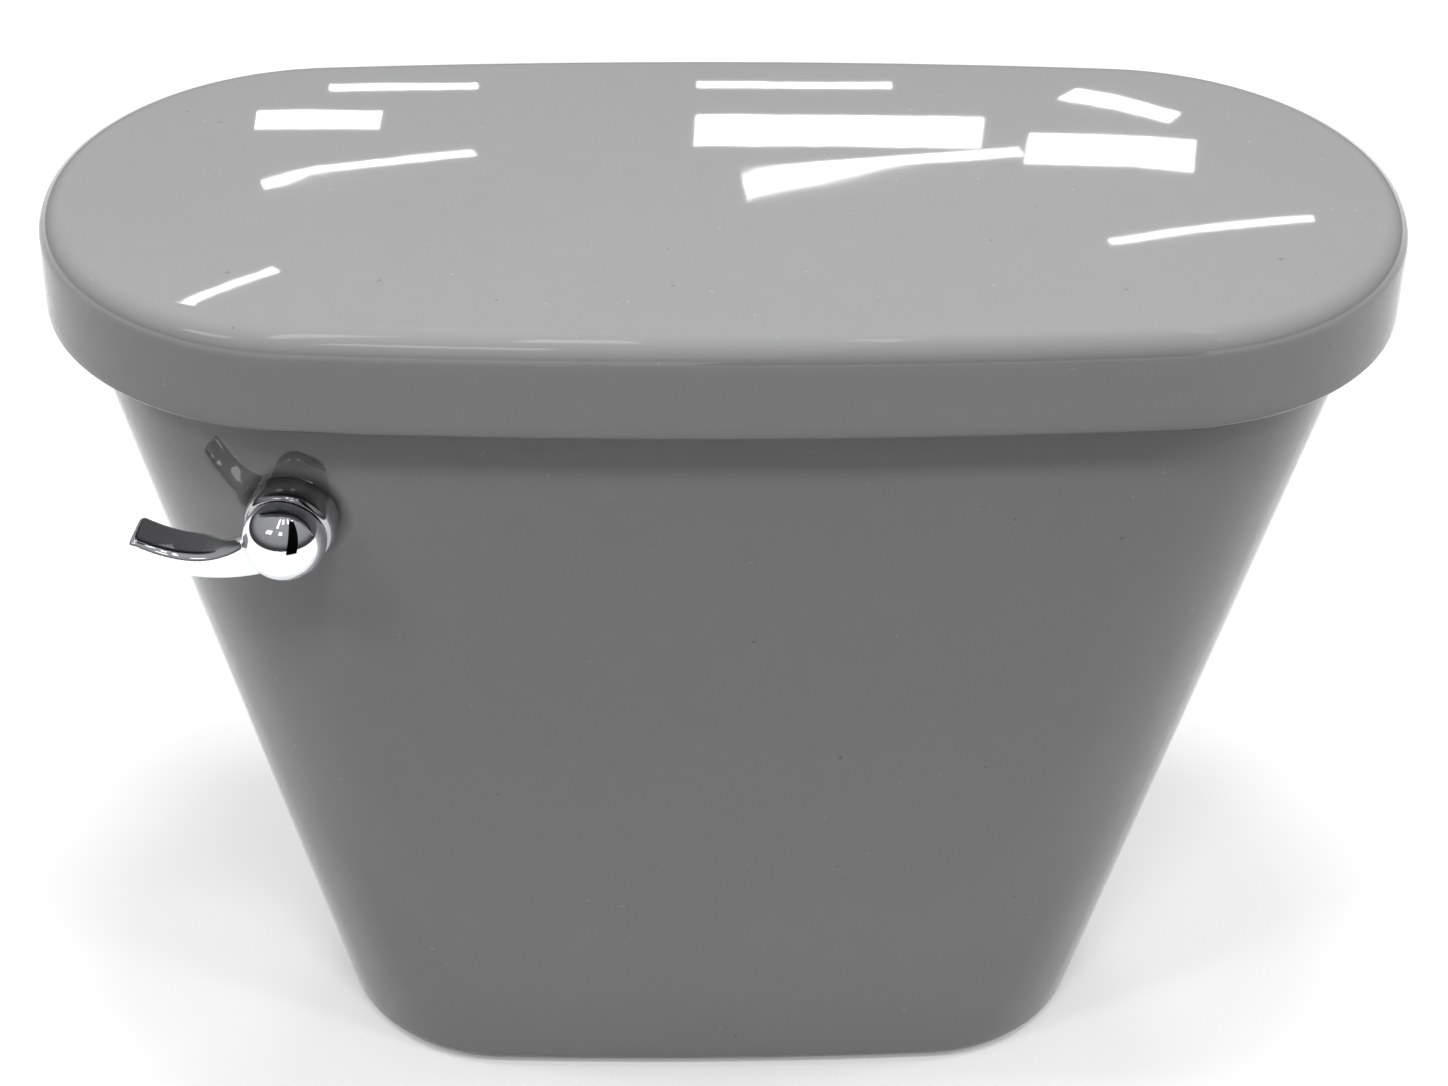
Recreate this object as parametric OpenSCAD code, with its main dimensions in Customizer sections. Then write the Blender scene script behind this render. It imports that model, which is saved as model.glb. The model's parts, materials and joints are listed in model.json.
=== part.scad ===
// Two-piece toilet cistern: china tank and loose lid, front trip lever, flush valve and fill valve.
// Millimetres. +X is to the viewer's right, +Y towards the wall behind, +Z up.
// The origin lies on the outlet's axis, in the plane of the foot.

/* [Lid] */
// Lid width, left to right
lid_w = 510; // [490:1:530]
// Lid depth, front to back
lid_d = 224; // [214:1:236]
// Lid height, skirt edge to the edge of the top
lid_h = 40; // [34:1:46]
// Thickness of the lid's top
lid_plate = 13; // [11:0.5:16]
// Thickness of the lid's skirt
skirt_t = 8.5; // [7:0.5:10]
// Rounding of the lid's top edge
lid_edge = 10; // [7:0.5:11]
// Rise of the lid's top towards its middle
lid_crown = 2; // [1:0.5:4]
// Radius of the lid's slightly bowed long edges
lid_bow_r = 2222; // [1900:1:2800]
// Half the straight length at each end of the lid
lid_flat = 1; // [0.5:0.5:4]

/* [Tank] */
// Foot width
foot_w = 310; // [300:1:325]
// Foot depth
foot_d = 160; // [152:1:172]
// Radius of the foot's slightly bowed long edges
foot_bow_r = 2000; // [1700:1:2600]
// Half the straight length at each end of the foot
foot_flat = 10; // [4:1:16]
// Height of the rim that carries the lid
rim_z = 372; // [364:1:380]
// Height of the upright band under the rim
band_h = 29; // [24:1:36]
// How far the rim lies inside the lid's edge
rim_inset = 13; // [12:0.5:16]
// How far the top's middle lies in front of the outlet
top_forward = 15; // [10:1:20]
// Wall thickness, measured level
wall_t = 10; // [8:0.5:12]
// Rounding of the foot's outer edge
foot_edge = 8; // [5:0.5:10]
// Rounding of the rim's edge
rim_edge = 3; // [2:0.5:3.5]
// Width of the foot, outer edge to the underside recess
foot_rim = 14; // [12:0.5:15]
// Depth of the underside recess
recess_h = 36; // [33:1:38]
// Thickness of the floor
floor_t = 11; // [9:0.5:13]

/* [Trip lever] */
// Distance of the lever from the lid's left end
lever_in = 96; // [88:1:100]
// Distance of the lever below the rim
lever_down = 73; // [68:1:76]
// Depth of the flat ground for the collar
seat_cut = 0.6; // [0.4:0.1:1]
// Wall left between the collar and the nut
lever_wall = 8.6; // [7.8:0.1:9]
// Radius of the collar
collar_r = 17; // [15:0.5:18]
// Thickness of the collar
collar_t = 11.4; // [10:0.2:12.6]
// Height of the collar's upright side
collar_side = 5.4; // [4:0.2:6]
// Radius of the collar's face
collar_face_r = 15; // [14.2:0.2:15.4]
// Width of the square neck
neck_w = 16; // [14:0.5:17]
// Radius of the threaded shank
thread_r = 7.6; // [7.2:0.1:7.9]
// Thickness of the lever nut
lever_nut_t = 9; // [7:0.5:11]
// Radius of the stem
stem_r = 4.5; // [4:0.1:5]
// Radius of the ball hub
ball_r = 15.4; // [15:0.2:16]
// Ball's middle in front of the collar's face
ball_out = 3.4; // [2.8:0.2:4]
// Reach of the paddle from the ball's middle
paddle_l = 58; // [48:1:64]
// Depth of the paddle, front to back
paddle_d = 16; // [13:0.5:18]
// Thickness of the paddle
paddle_t = 11; // [9:0.5:12]
// How much thicker the paddle is where it leaves the ball
paddle_flare = 0.45; // [0.3:0.05:0.6]
// How far the paddle dips below the ball's middle
paddle_dip = 12.4; // [10:0.2:14]
// How far the paddle's tip rises from its lowest place
paddle_rise = 6.2; // [4:0.2:8]

/* [Trip arm and chain] */
// Thickness of the arm's hub
hub_t = 12; // [10:0.5:14]
// Radius of the arm's hub
hub_r = 8.5; // [8:0.5:10]
// Radius of the arm
arm_r = 3; // [2.5:0.25:3.5]
// First straight of the arm
arm_first = 30; // [24:1:36]
// Last straight of the arm
arm_last = 22; // [18:1:26]
// Side place of the chain, left of the outlet's axis
chain_x = 22; // [20:0.5:24]
// Distance of the chain's upper end below the lever
chain_down = 21; // [18:1:26]
// Turn of the chain's swing axis from the wall's direction
chain_turn = 17.1; // [16:0.1:20]
// Radius of the eye at the arm's end
eye_r = 6; // [5.5:0.1:6.4]
// Thickness of the eye
eye_t = 3; // [2:0.25:3.5]
// Radius of the hook's wire
wire_r = 0.9; // [0.7:0.1:1.1]
// Radius of the hook's ring, to the middle of its wire
hook_ring = 4.2; // [4.1:0.1:4.8]
// Radius of the lower ring, to the middle of its wire
low_ring = 6.6; // [6.2:0.1:7.2]
// Radius of the chain's balls
ball_chain_r = 1.6; // [1.3:0.1:1.9]
// Spacing of the balls, at least
ball_step = 4.6; // [4.2:0.1:5]

/* [Flush valve] */
// Radius of the outlet's bore
outlet_r = 26; // [25:0.5:26.5]
// Radius of the outlet's threaded shank
outlet_shank_r = 31.5; // [31:0.1:32]
// Radius of the chamber above the bore
chamber_r = 29; // [28:0.5:30]
// Radius of the valve's body
valve_r = 36; // [35:0.5:37]
// Radius of the valve's flange
flange_r = 45; // [43:0.5:48]
// Thickness of the flange
flange_t = 5; // [4:0.5:6]
// Height of the seat above the flange
seat_rise = 31; // [29:0.5:32]
// Lower end of the shank above the foot plane
shank_end = 3; // [2:0.5:5]
// Thickness of the valve's rubber washer
washer_t = 4; // [3:0.5:5]
// Thickness of the lock nut
lock_nut_t = 12; // [10:0.5:13]
// Radius of the lock nut
lock_nut_r = 42; // [40:0.5:44]
// Radius of the bowl gasket
gasket_r = 50; // [46:0.5:54]
// Overflow tube's distance from the outlet's axis
overflow_x = 52; // [51:0.5:54]
// Overflow tube's outer radius
overflow_r = 14.3; // [13.8:0.1:14.8]
// Overflow tube's wall
overflow_wall = 1.8; // [1.4:0.1:2.2]
// Distance of the overflow tube's top below the rim
overflow_down = 102; // [92:1:115]
// Radius of the socket that holds the overflow tube
socket_r = 18; // [17.5:0.1:18.5]
// Radius of the hinge pegs
peg_r = 3; // [2.5:0.1:3.5]
// Height of the hinge pegs above the seat
peg_rise = 13; // [12:0.5:15]
// Radius of the flapper
flapper_r = 35.5; // [34:0.25:36]
// Thickness of the flapper
flapper_t = 4; // [3:0.5:5]
// Radius of the flapper's bulb
bulb_r = 24; // [22:0.5:26]
// Depth of the flapper's bulb
bulb_h = 21; // [16:0.5:24]
// Radius of the bar that the chain pulls
bar_r = 1.6; // [1.4:0.1:1.8]
// Height of that bar above the seat
bar_rise = 17; // [16:0.5:18]

/* [Fill valve] */
// Fill valve's distance from the foot's left end
inlet_edge = 41; // [40:0.5:43]
// Fill valve's place towards the wall behind
inlet_y = 5; // [0:1:8]
// Radius of the inlet's shank in the floor
inlet_r = 11.1; // [11:0.1:11.5]
// Radius of the inlet's free thread, where the supply nut goes
inlet_thread_r = 10.6; // [10:0.1:10.7]
// Radius of the inlet's bore
inlet_bore_r = 6.5; // [5.5:0.25:7]
// Lower end of the inlet above the foot plane
inlet_end = 2; // [1:0.5:4]
// Radius of the inlet's flange
inlet_flange_r = 18.5; // [17:0.5:18.5]
// Radius of the lower body
lower_r = 15; // [14.5:0.25:16]
// Distance of the lower body's top below the float
lower_down = 26; // [24:1:32]
// Radius of the riser
riser_r = 12.5; // [12:0.1:13]
// Wall of the riser
riser_wall = 3.2; // [2.5:0.1:3.8]
// Distance of the cap's underside below the rim
cap_down = 117; // [115:1:120]
// Radius of the cap
cap_r = 27; // [25:0.5:28]
// Height of the cap
cap_h = 38; // [34:1:40]
// Radius of the float
float_r = 37; // [34:0.5:39]
// Wall of the float
float_wall = 2.5; // [2:0.1:3]
// Distance of the float's top below the cap
float_down = 22; // [18:1:26]
// Height of the float
float_h = 64; // [56:1:68]
// Reach of the float's lug, to the adjusting rod
rod_out = 41; // [40:0.5:43]
// Radius of the adjusting rod
rod_r = 1.6; // [1.4:0.1:1.9]
// Radius of the valve arm's pin
pin_r = 2; // [1.7:0.1:2.3]
// Outer radius of the refill tube
tube_r = 3.9; // [3.6:0.1:4.2]
// Bore radius of the refill tube
tube_bore_r = 2.6; // [2.4:0.1:2.8]
// Bend radius of the refill tube
tube_bend = 32; // [30:1:33]
// Distance of the refill tube's level run below the rim
tube_down = 32; // [30:1:33]

/* [Bowl bolts] */
// Distance of the bolts from the fill valve's axis, side to side
inlet_gap = 34; // [33:0.5:35]
// Radius of the bolt's upper shank
bolt_r = 4; // [3.8:0.1:4.2]
// Radius of the bolt's lower thread
bolt_thread_r = 3.7; // [3.5:0.1:3.8]
// Radius of the bolt's head
bolt_head_r = 8; // [7.5:0.25:8.5]
// Thickness of the bolt's head
bolt_head_t = 5; // [4:0.5:6]
// Radius of the rubber washers
bolt_seal_r = 11; // [10.5:0.25:11.5]
// Thickness of the rubber washers
bolt_seal_t = 3; // [2:0.5:4]
// Thickness of the steel washers
bolt_washer_t = 1.6; // [1.2:0.2:2]
// Thickness of the nuts
bolt_nut_t = 6.5; // [6:0.5:8]
// Lower end of the bolts above the foot plane
bolt_end = 1.5; // [1:0.5:3]

/* [Fits] */
// Running clearance of a pin in its hole
run_gap = 0.05; // [0.03:0.01:0.08]
// Clearance between pieces that slide past each other
slip_gap = 0.4; // [0.35:0.05:0.5]
// Clearance of a shank in the china
hole_gap = 1.5; // [1:0.1:2]

/* [Hidden] */
$fn = 64;
eps = 1;
corner_steps = 12;
edge_steps = 6;
lid_plan = [lid_w, lid_d, lid_flat, lid_bow_r];
rim_plan = inset(lid_plan, rim_inset);
foot_plan = [foot_w, foot_d, foot_flat, foot_bow_r];
shoulder_z = rim_z - band_h;
lid_top = rim_z + lid_plate;
lid_z = lid_top - lid_h;
lid_low_edge = 2;
floor_z = recess_h + floor_t;
cove_r = 10;
recess_draft = 3;

lever_x = lid_w / 2 - lever_in;
lever_z = rim_z - lever_down;
lever_part = lever_z / shoulder_z;
lever_arc_r = mix(end_r(foot_plan), end_r(rim_plan), lever_part);
lever_arc_x = mix(end_x(foot_plan), end_x(rim_plan), lever_part);
lever_arc_y = mix(foot_flat, lid_flat, lever_part);
lever_turn = asin((lever_x - lever_arc_x) / lever_arc_r);
lever_y = -top_forward * lever_part - lever_arc_y - lever_arc_r * cos(lever_turn);
lean_ends = sin(lever_turn) * (end_x(rim_plan) - end_x(foot_plan));
lean_mid = cos(lever_turn) * (lid_flat - foot_flat + top_forward);
lever_tilt = atan((lean_ends + lean_mid + end_r(rim_plan) - end_r(foot_plan)) / shoulder_z);
lever_out = [-sin(lever_turn) * cos(lever_tilt), -cos(lever_turn) * cos(lever_tilt), -sin(lever_tilt)];
lever_right = [cos(lever_turn), -sin(lever_turn), 0];
lever_at = [-lever_x, lever_y, lever_z] - seat_cut * lever_out;
seat_r = collar_r + 1.5;
nut_seat_r = neck_w * 0.75 + 6;
lever_nut_r = neck_w * 0.75 + 4;
shank_l = lever_wall + lever_nut_t + 3;
hub_near = shank_l + 1.5;
stem_l = hub_near + hub_t + 2;
stem_gap = run_gap;
hub_back_gap = 0.4;
ball_z = collar_t + ball_out;
paddle_front = ball_z + 8.4;
paddle_step = paddle_front - paddle_d - collar_t - 2 * hub_back_gap;
paddle_low = 0.6;
paddle_end_r = 2;

chain_top = lever_z - chain_down;
chain_at = [-chain_x, 0, chain_top];
eye_way = [cos(chain_turn), -sin(chain_turn), 0];
arm_from = lever_at - (hub_near + hub_t / 2) * lever_out;
arm_mid = arm_from + arm_first * lever_right;
arm_drop = 5;
arm_end = chain_at - arm_last * eye_way + [0, 0, arm_drop];
eye_hole_r = wire_r + 1.5;
hook_collar_l = 6;
hook_collar_r = 2.4;
ring_wire_r = 1;
bar_play = 2.2;
chain_hi = chain_top - 2 * hook_ring - hook_collar_l;
seat_z = floor_z + washer_t + flange_t + seat_rise;
bar_z = seat_z + bar_rise;
low_ring_z = bar_z + bar_play;
chain_lo = low_ring_z + low_ring + hook_collar_l;
ball_count = floor((chain_hi - chain_lo) / ball_step);
ball_pitch = (chain_hi - chain_lo) / ball_count;
link_r = 0.5;

flange_z = floor_z + washer_t;
body_z = flange_z + flange_t;
lip_w = 3;
outlet_hole_r = outlet_shank_r + hole_gap;
lock_gap = 0.3;
hinge_z = seat_z + peg_rise;
overflow_top = rim_z - overflow_down;
duct_w = 24;
duct_h = 22;
duct_wall = 4;
socket_top = seat_z - 3;
socket_ledge = socket_top - 9;
peg_l = 11;
ear_in = overflow_r + 3;
ear_t = 5;
ear_r = peg_r + 3.5;
post_y = 9;
post_r = 2.4;

inlet_x = foot_w / 2 - inlet_edge;
inlet_at = [-inlet_x, inlet_y, 0];
inlet_hole_r = inlet_r + hole_gap;
inlet_nut_t = 10;
inlet_nut_r = inlet_r + 7;
riser_z = body_z + 10;
cap_z = rim_z - cap_down;
float_z = cap_z - float_down - float_h;
lower_top = float_z - lower_down;
lock_ring_t = 12;
lock_ring_r = lower_r + 3.5;
cap_top = cap_z + cap_h;
cap_wall = 4;
cap_collar = 10;
seal_r = cap_r - cap_wall - 1;
seal_t = 3;
seal_z = cap_top - cap_wall - seal_t - 5;
arm_pin_y = inlet_y + 4;
arm_pin_z = cap_top + 7;
valve_arm_w = 8;
valve_arm_t = 2.5;
ear_gap = 0.5;
cap_ear_t = 3;
cap_ear_r = 5;
rod_y = inlet_y + rod_out;
rod_play = 1.4;
slot_in = rod_r + 1;
slot_out = rod_r + 2.6;
rod_head_r = 3.4;
lug_w = 10;
lug_t = 10;
lug_z = float_z + float_h * 0.35;
nipple_x = 16;
nipple_y = 8;
nipple_r = tube_bore_r - 0.1;
nipple_l = 12;
tube_z = rim_z - tube_down;
tube_at = [-inlet_x + nipple_x, inlet_y + nipple_y, cap_top + 1];
tube_to = [overflow_x, 0, overflow_top + 7];
tube_run = norm([tube_to[0] - tube_at[0], tube_to[1] - tube_at[1]]);
tube_way = atan2(tube_to[1] - tube_at[1], tube_to[0] - tube_at[0]);
clip_w = 9;
clip_t = 3;
clip_leg = 12;
spout_l = 20;

bolt_span = 2 * (inlet_x - inlet_gap);
bolt_head_z = floor_z + bolt_seal_t;
bolt_hole_r = bolt_r + hole_gap;
bolt_seal_hole = bolt_r + 0.3;
bolt_washer_z = recess_h - bolt_washer_t;
bolt_nut_z = bolt_washer_z - bolt_nut_t;
bolt_nut_r = 7.4;
bolt_washer_r = 10;

china = [0.5, 0.5, 0.51];
chrome = [0.8, 0.81, 0.83];
brass = [0.78, 0.62, 0.3];
steel = [0.66, 0.67, 0.69];
rubber = [0.16, 0.16, 0.17];
red_rubber = [0.62, 0.2, 0.15];
white_plastic = [0.9, 0.9, 0.88];
grey_plastic = [0.45, 0.47, 0.5];
black_plastic = [0.12, 0.12, 0.13];
clear_plastic = [0.78, 0.82, 0.8];

function mix(a, b, t) = a + (b - a) * t;

// A plan is [width, depth, half straight length of an end, radius of the bowed edges].
function inset(p, i) = [p[0] - 2 * i, p[1] - 2 * i, p[2], p[3] - i];

// The end's corner radius that runs smoothly into the bowed edges.
function end_r(p) = (p[3] + p[0] / 2 - pow(p[2] - p[1] / 2 + p[3], 2) / (p[3] - p[0] / 2)) / 2;

function end_x(p) = p[0] / 2 - end_r(p);

function meet(p) = asin(end_x(p) / (p[3] - end_r(p)));

// Corner points from the bowed edge to the end, sx and sy choosing the corner.
function corner(p, sx, sy, up) = [for (k = [0:corner_steps])
    let (s = up ? k / corner_steps : 1 - k / corner_steps)
    let (a = mix(meet(p), 90, s))
    [sx * (end_x(p) + end_r(p) * sin(a)), sy * (p[2] + end_r(p) * cos(a))]];

function bowed(p, sy) = [for (k = [1:edge_steps - 1])
    let (a = meet(p) * (2 * k / edge_steps - 1))
    [-sy * p[3] * sin(a), sy * (p[1] / 2 - p[3] + p[3] * cos(a))]];

// One closed outline, anticlockwise seen from above.
function outline(p) = concat(bowed(p, -1), corner(p, 1, -1, true), corner(p, 1, 1, false),
    bowed(p, 1), corner(p, -1, 1, true), corner(p, -1, -1, false));

function ring(p, y, z) = [for (q = outline(p)) [q[0], q[1] + y, z]];

// The tank's outline at height z, moved in by i.
function wall_ring(i, z) = let (t = min(z / shoulder_z, 1))
    [for (k = [0:len(outline(foot_plan)) - 1])
        let (a = outline(inset(foot_plan, i))[k])
        let (b = outline(inset(rim_plan, i))[k])
        [mix(a[0], b[0], t), mix(a[1], b[1], t) - top_forward * t, z]];

function lid_ring(i, z) = ring(inset(lid_plan, i), -top_forward, z);

function tank_rings() = concat(
    [for (a = [0:22.5:90]) wall_ring(foot_edge * (1 - sin(a)), foot_edge * (1 - cos(a)))],
    [wall_ring(0, shoulder_z)],
    [for (a = [0:45:90]) wall_ring(rim_edge * (1 - cos(a)), rim_z - rim_edge * (1 - sin(a)))]);

function cavity_rings() = concat(
    [for (a = [0:22.5:90]) wall_ring(wall_t + cove_r * (1 - sin(a)), floor_z + cove_r * (1 - cos(a)))],
    [wall_ring(wall_t, shoulder_z), wall_ring(wall_t, rim_z + eps)]);

function recess_rings() = [ring(inset(foot_plan, foot_rim), 0, -eps),
    ring(inset(foot_plan, foot_rim), 0, 0), ring(inset(foot_plan, foot_rim + recess_draft), 0, recess_h)];

function lid_rings() = concat(
    [lid_ring(lid_low_edge, lid_z), lid_ring(lid_low_edge * 0.3, lid_z + lid_low_edge * 0.3),
        lid_ring(0, lid_z + lid_low_edge)],
    [for (a = [0:18:90]) lid_ring(lid_edge * (1 - cos(a)), lid_top - lid_edge * (1 - sin(a)))],
    [for (s = [0.2, 0.45, 0.75, 1])
        lid_ring(mix(lid_edge, end_r(lid_plan) - 8, s), lid_top + lid_crown * (1 - pow(1 - s, 2)))]);

function lid_hollow_rings() = [lid_ring(skirt_t, lid_z - eps), lid_ring(skirt_t, rim_z)];

// A skin over equal rings of points, closed by a flat cap at each end.
module loft(rings) {
    n = len(rings[0]);
    m = len(rings);
    sides = [for (i = [0:m - 2]) for (j = [0:n - 1]) let (k = (j + 1) % n)
        each [[i * n + j, (i + 1) * n + j, (i + 1) * n + k], [i * n + j, (i + 1) * n + k, i * n + k]]];
    low = [for (j = [0:n - 1]) j];
    high = [for (j = [0:n - 1]) m * n - 1 - j];
    polyhedron(points = [for (r = rings) each r], faces = concat([low], sides, [high]), convexity = 8);
}

// A round bar from one point to another.
module bar(a, b, r) {
    d = b - a;
    translate(a)
        rotate([0, acos(d[2] / norm(d)), atan2(d[1], d[0])])
            cylinder(r = r, h = norm(d));
}

module tube(r_out, r_in, z0, z1) {
    translate([0, 0, z0])
        difference() {
            cylinder(r = r_out, h = z1 - z0);
            translate([0, 0, -eps])
                cylinder(r = r_in, h = z1 - z0 + 2 * eps);
        }
}

module torus(r, wire) {
    rotate_extrude()
        translate([r, 0])
            circle(r = wire);
}

// Local frame of the lever: +Z out of the wall, +X to the right, +Y up.
module at_lever() {
    translate(lever_at)
        rotate([90 + lever_tilt, 0, -lever_turn])
            children();
}

// Local frame of the eye: +Z along the chain's swing axis, +Y down.
module at_eye() {
    translate(chain_at)
        rotate([-90, 0, -chain_turn])
            children();
}

module tank() {
    color(china)
        difference() {
            loft(tank_rings());
            loft(cavity_rings());
            loft(recess_rings());
            translate([0, 0, recess_h - eps])
                cylinder(r = outlet_hole_r, h = floor_t + 2 * eps);
            translate(inlet_at + [0, 0, recess_h - eps])
                cylinder(r = inlet_hole_r, h = floor_t + 2 * eps);
            for (s = [-1, 1])
                translate([s * bolt_span / 2, 0, recess_h - eps])
                    cylinder(r = bolt_hole_r, h = floor_t + 2 * eps);
            at_lever() {
                cylinder(r = seat_r, h = 20);
                translate([0, 0, -lever_wall - 24])
                    cylinder(r = nut_seat_r, h = 24);
                translate([-neck_w / 2 - slip_gap, -neck_w / 2 - slip_gap, -lever_wall - eps])
                    cube([neck_w + 2 * slip_gap, neck_w + 2 * slip_gap, lever_wall + 2 * eps]);
            }
        }
}

module lid() {
    color(china)
        difference() {
            loft(lid_rings());
            loft(lid_hollow_rings());
        }
}

// The collar's flank leaves its upright side and bends in to the face, as a quarter of an oval.
function collar_point(s) = [collar_face_r + (collar_r - collar_face_r) * cos(90 * s),
    collar_side + (collar_t - collar_side) * sin(90 * s)];

module lever_bushing() {
    shape = concat([[stem_r + stem_gap, -shank_l], [thread_r - 0.6, -shank_l], [thread_r, -shank_l + 0.6],
            [thread_r, 0], [collar_r, 0]],
        [for (i = [0:6]) collar_point(i / 6)], [[stem_r + stem_gap, collar_t]]);
    color(chrome)
        at_lever()
            union() {
                rotate_extrude()
                    polygon(shape);
                difference() {
                    translate([-neck_w / 2, -neck_w / 2, -lever_wall + 0.5])
                        cube([neck_w, neck_w, lever_wall]);
                    translate([0, 0, -lever_wall])
                        cylinder(r = stem_r + stem_gap + 1, h = 2 * lever_wall);
                }
            }
}

module lever_nut() {
    color(brass)
        at_lever()
            translate([0, 0, -lever_wall - lever_nut_t])
                difference() {
                    union() {
                        cylinder(r = lever_nut_r, h = lever_nut_t, $fn = 6);
                        translate([0, 0, lever_nut_t - 2.5])
                            cylinder(r = lever_nut_r + 1, h = 2.5);
                    }
                    translate([0, 0, -eps])
                        cylinder(r = thread_r + 0.1, h = lever_nut_t + 2 * eps);
                }
}

function bulge(v, p) = sign(v) * pow(abs(v), p);

// Middle line of the paddle: it dips to its lowest place at part paddle_low of the reach and rises to the tip.
function paddle_y(u) = -paddle_dip + paddle_rise * pow((u - paddle_low) / (1 - paddle_low), 2);
function paddle_slope(u) = 2 * paddle_rise * (u - paddle_low) / pow(1 - paddle_low, 2) / paddle_l;

// Section of the paddle at part s of its length, square to the middle line: a rounded bar, blunt at the tip.
function paddle_ring(s) = let (root = 0.1)
    let (u = root + (1 - root) * s)
    let (lean = atan(paddle_slope(u)))
    let (end_part = paddle_end_r / (paddle_l * (1 - root)))
    let (q = max(0, (s - 1 + end_part) / end_part))
    let (end_cut = paddle_end_r * (1 - sqrt(1 - q * q)))
    let (flare = paddle_flare * pow(max(0, 1 - 2 * s), 2))
    let (t = paddle_t / 2 * mix(1.08, 0.88, s) * (1 + flare) - end_cut)
    let (set_back = paddle_step * pow(1 - pow(min(1, max(0, (s - 0.22) / 0.33)), 2), 2))
    let (d = (paddle_d + set_back) / 2 - end_cut)
    let (z = paddle_front - (paddle_d + set_back) / 2)
    [for (a = [0:15:345]) let (v = t * bulge(sin(a), 0.45))
        [-paddle_l * u + v * sin(lean), paddle_y(u) + v * cos(lean), z + d * bulge(cos(a), 0.45)]];

module lever_handle() {
    stations = [0, 0.1, 0.2, 0.3, 0.4, 0.5, 0.6, 0.7, 0.8, 0.9, 0.962, 0.975, 0.988, 0.996, 1];
    color(chrome)
        at_lever()
            union() {
                difference() {
                    union() {
                        translate([0, 0, ball_z])
                            sphere(r = ball_r);
                        loft([for (s = stations) paddle_ring(s)]);
                    }
                    translate([0, 0, collar_t + hub_back_gap - 2 * ball_r])
                        cylinder(r = 2 * ball_r, h = 2 * ball_r);
                }
                translate([0, 0, -stem_l])
                    cylinder(r = stem_r, h = stem_l + ball_z);
            }
}

module trip_arm() {
    color(brass)
        difference() {
            union() {
                at_lever()
                    translate([0, 0, -hub_near - hub_t])
                        cylinder(r = hub_r, h = hub_t);
                bar(arm_from, arm_mid, arm_r);
                translate(arm_mid)
                    sphere(r = arm_r + 0.4);
                bar(arm_mid, arm_end, arm_r);
                translate(arm_end)
                    sphere(r = arm_r + 0.4);
                bar(arm_end, chain_at - eye_r * 0.7 * eye_way, arm_r * 0.8);
                at_eye()
                    cylinder(r = eye_r, h = eye_t, center = true);
            }
            at_lever() {
                translate([0, 0, -stem_l - 2 * hub_t])
                    cylinder(r = stem_r + stem_gap, h = stem_l + 2 * hub_t);
                translate([0, 0, -hub_near - hub_t / 2])
                    rotate([-90, 0, 0])
                        cylinder(r = 2.1, h = 2 * hub_r);
            }
            at_eye()
                cylinder(r = eye_hole_r, h = 4 * eye_t, center = true);
        }
}

module arm_set_screw() {
    color(steel)
        at_lever()
            translate([0, 0, -hub_near - hub_t / 2])
                rotate([-90, 0, 0])
                    difference() {
                        union() {
                            translate([0, 0, stem_r + 0.2])
                                cylinder(r = 2, h = hub_r + 1 - stem_r);
                            translate([0, 0, hub_r + 0.6])
                                cylinder(r = 3.6, h = 2.6);
                        }
                        translate([-5, -0.5, hub_r + 2])
                            cube([10, 1, 3]);
                    }
}

module chain_hook() {
    color(steel)
        at_eye()
            union() {
                translate([0, hook_ring, 0])
                    rotate([0, 90, 0])
                        torus(hook_ring, wire_r);
                translate([0, 2 * hook_ring, 0])
                    rotate([-90, 0, 0])
                        cylinder(r = hook_collar_r, h = hook_collar_l);
            }
}

module chain() {
    color(steel)
        union() {
            translate([-chain_x, 0, chain_lo])
                cylinder(r = link_r, h = chain_hi - chain_lo);
            for (k = [0:ball_count - 1])
                translate([-chain_x, 0, chain_lo + (k + 0.5) * ball_pitch])
                    sphere(r = ball_chain_r);
        }
}

module chain_ring() {
    color(steel)
        union() {
            translate([-chain_x, 0, low_ring_z])
                rotate([90, 0, 0])
                    torus(low_ring, ring_wire_r);
            translate([-chain_x, 0, low_ring_z + low_ring])
                cylinder(r = hook_collar_r, h = hook_collar_l);
        }
}

module flush_valve_body() {
    shape = [[outlet_r, shank_end], [outlet_shank_r - 1, shank_end], [outlet_shank_r, shank_end + 1],
        [outlet_shank_r, flange_z], [flange_r, flange_z], [flange_r, body_z], [valve_r, body_z],
        [valve_r, seat_z - 7], [valve_r - 1.5, seat_z - 3], [chamber_r + 1.5 + lip_w, seat_z],
        [chamber_r + 1.5, seat_z], [chamber_r, seat_z - 1.5], [chamber_r, body_z + 4], [outlet_r, body_z]];
    color(white_plastic)
        difference() {
            union() {
                rotate_extrude()
                    polygon(shape);
                difference() {
                    union() {
                        translate([overflow_x, 0, body_z + 3])
                            cylinder(r = socket_r, h = socket_top - body_z - 3);
                        translate([0, -duct_w / 2, body_z + 3])
                            cube([overflow_x, duct_w, duct_h]);
                    }
                    translate([0, 0, body_z])
                        cylinder(r = chamber_r + 1, h = seat_rise + eps);
                }
            }
            translate([overflow_x / 3, -duct_w / 2 + duct_wall, body_z + 3 + duct_wall])
                cube([overflow_x * 2 / 3, duct_w - 2 * duct_wall, duct_h - 2 * duct_wall]);
            translate([overflow_x, 0, body_z + 3 + duct_wall])
                cylinder(r = overflow_r - overflow_wall, h = seat_rise);
            translate([overflow_x, 0, socket_ledge])
                cylinder(r = overflow_r + 0.1, h = seat_rise);
        }
}

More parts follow.
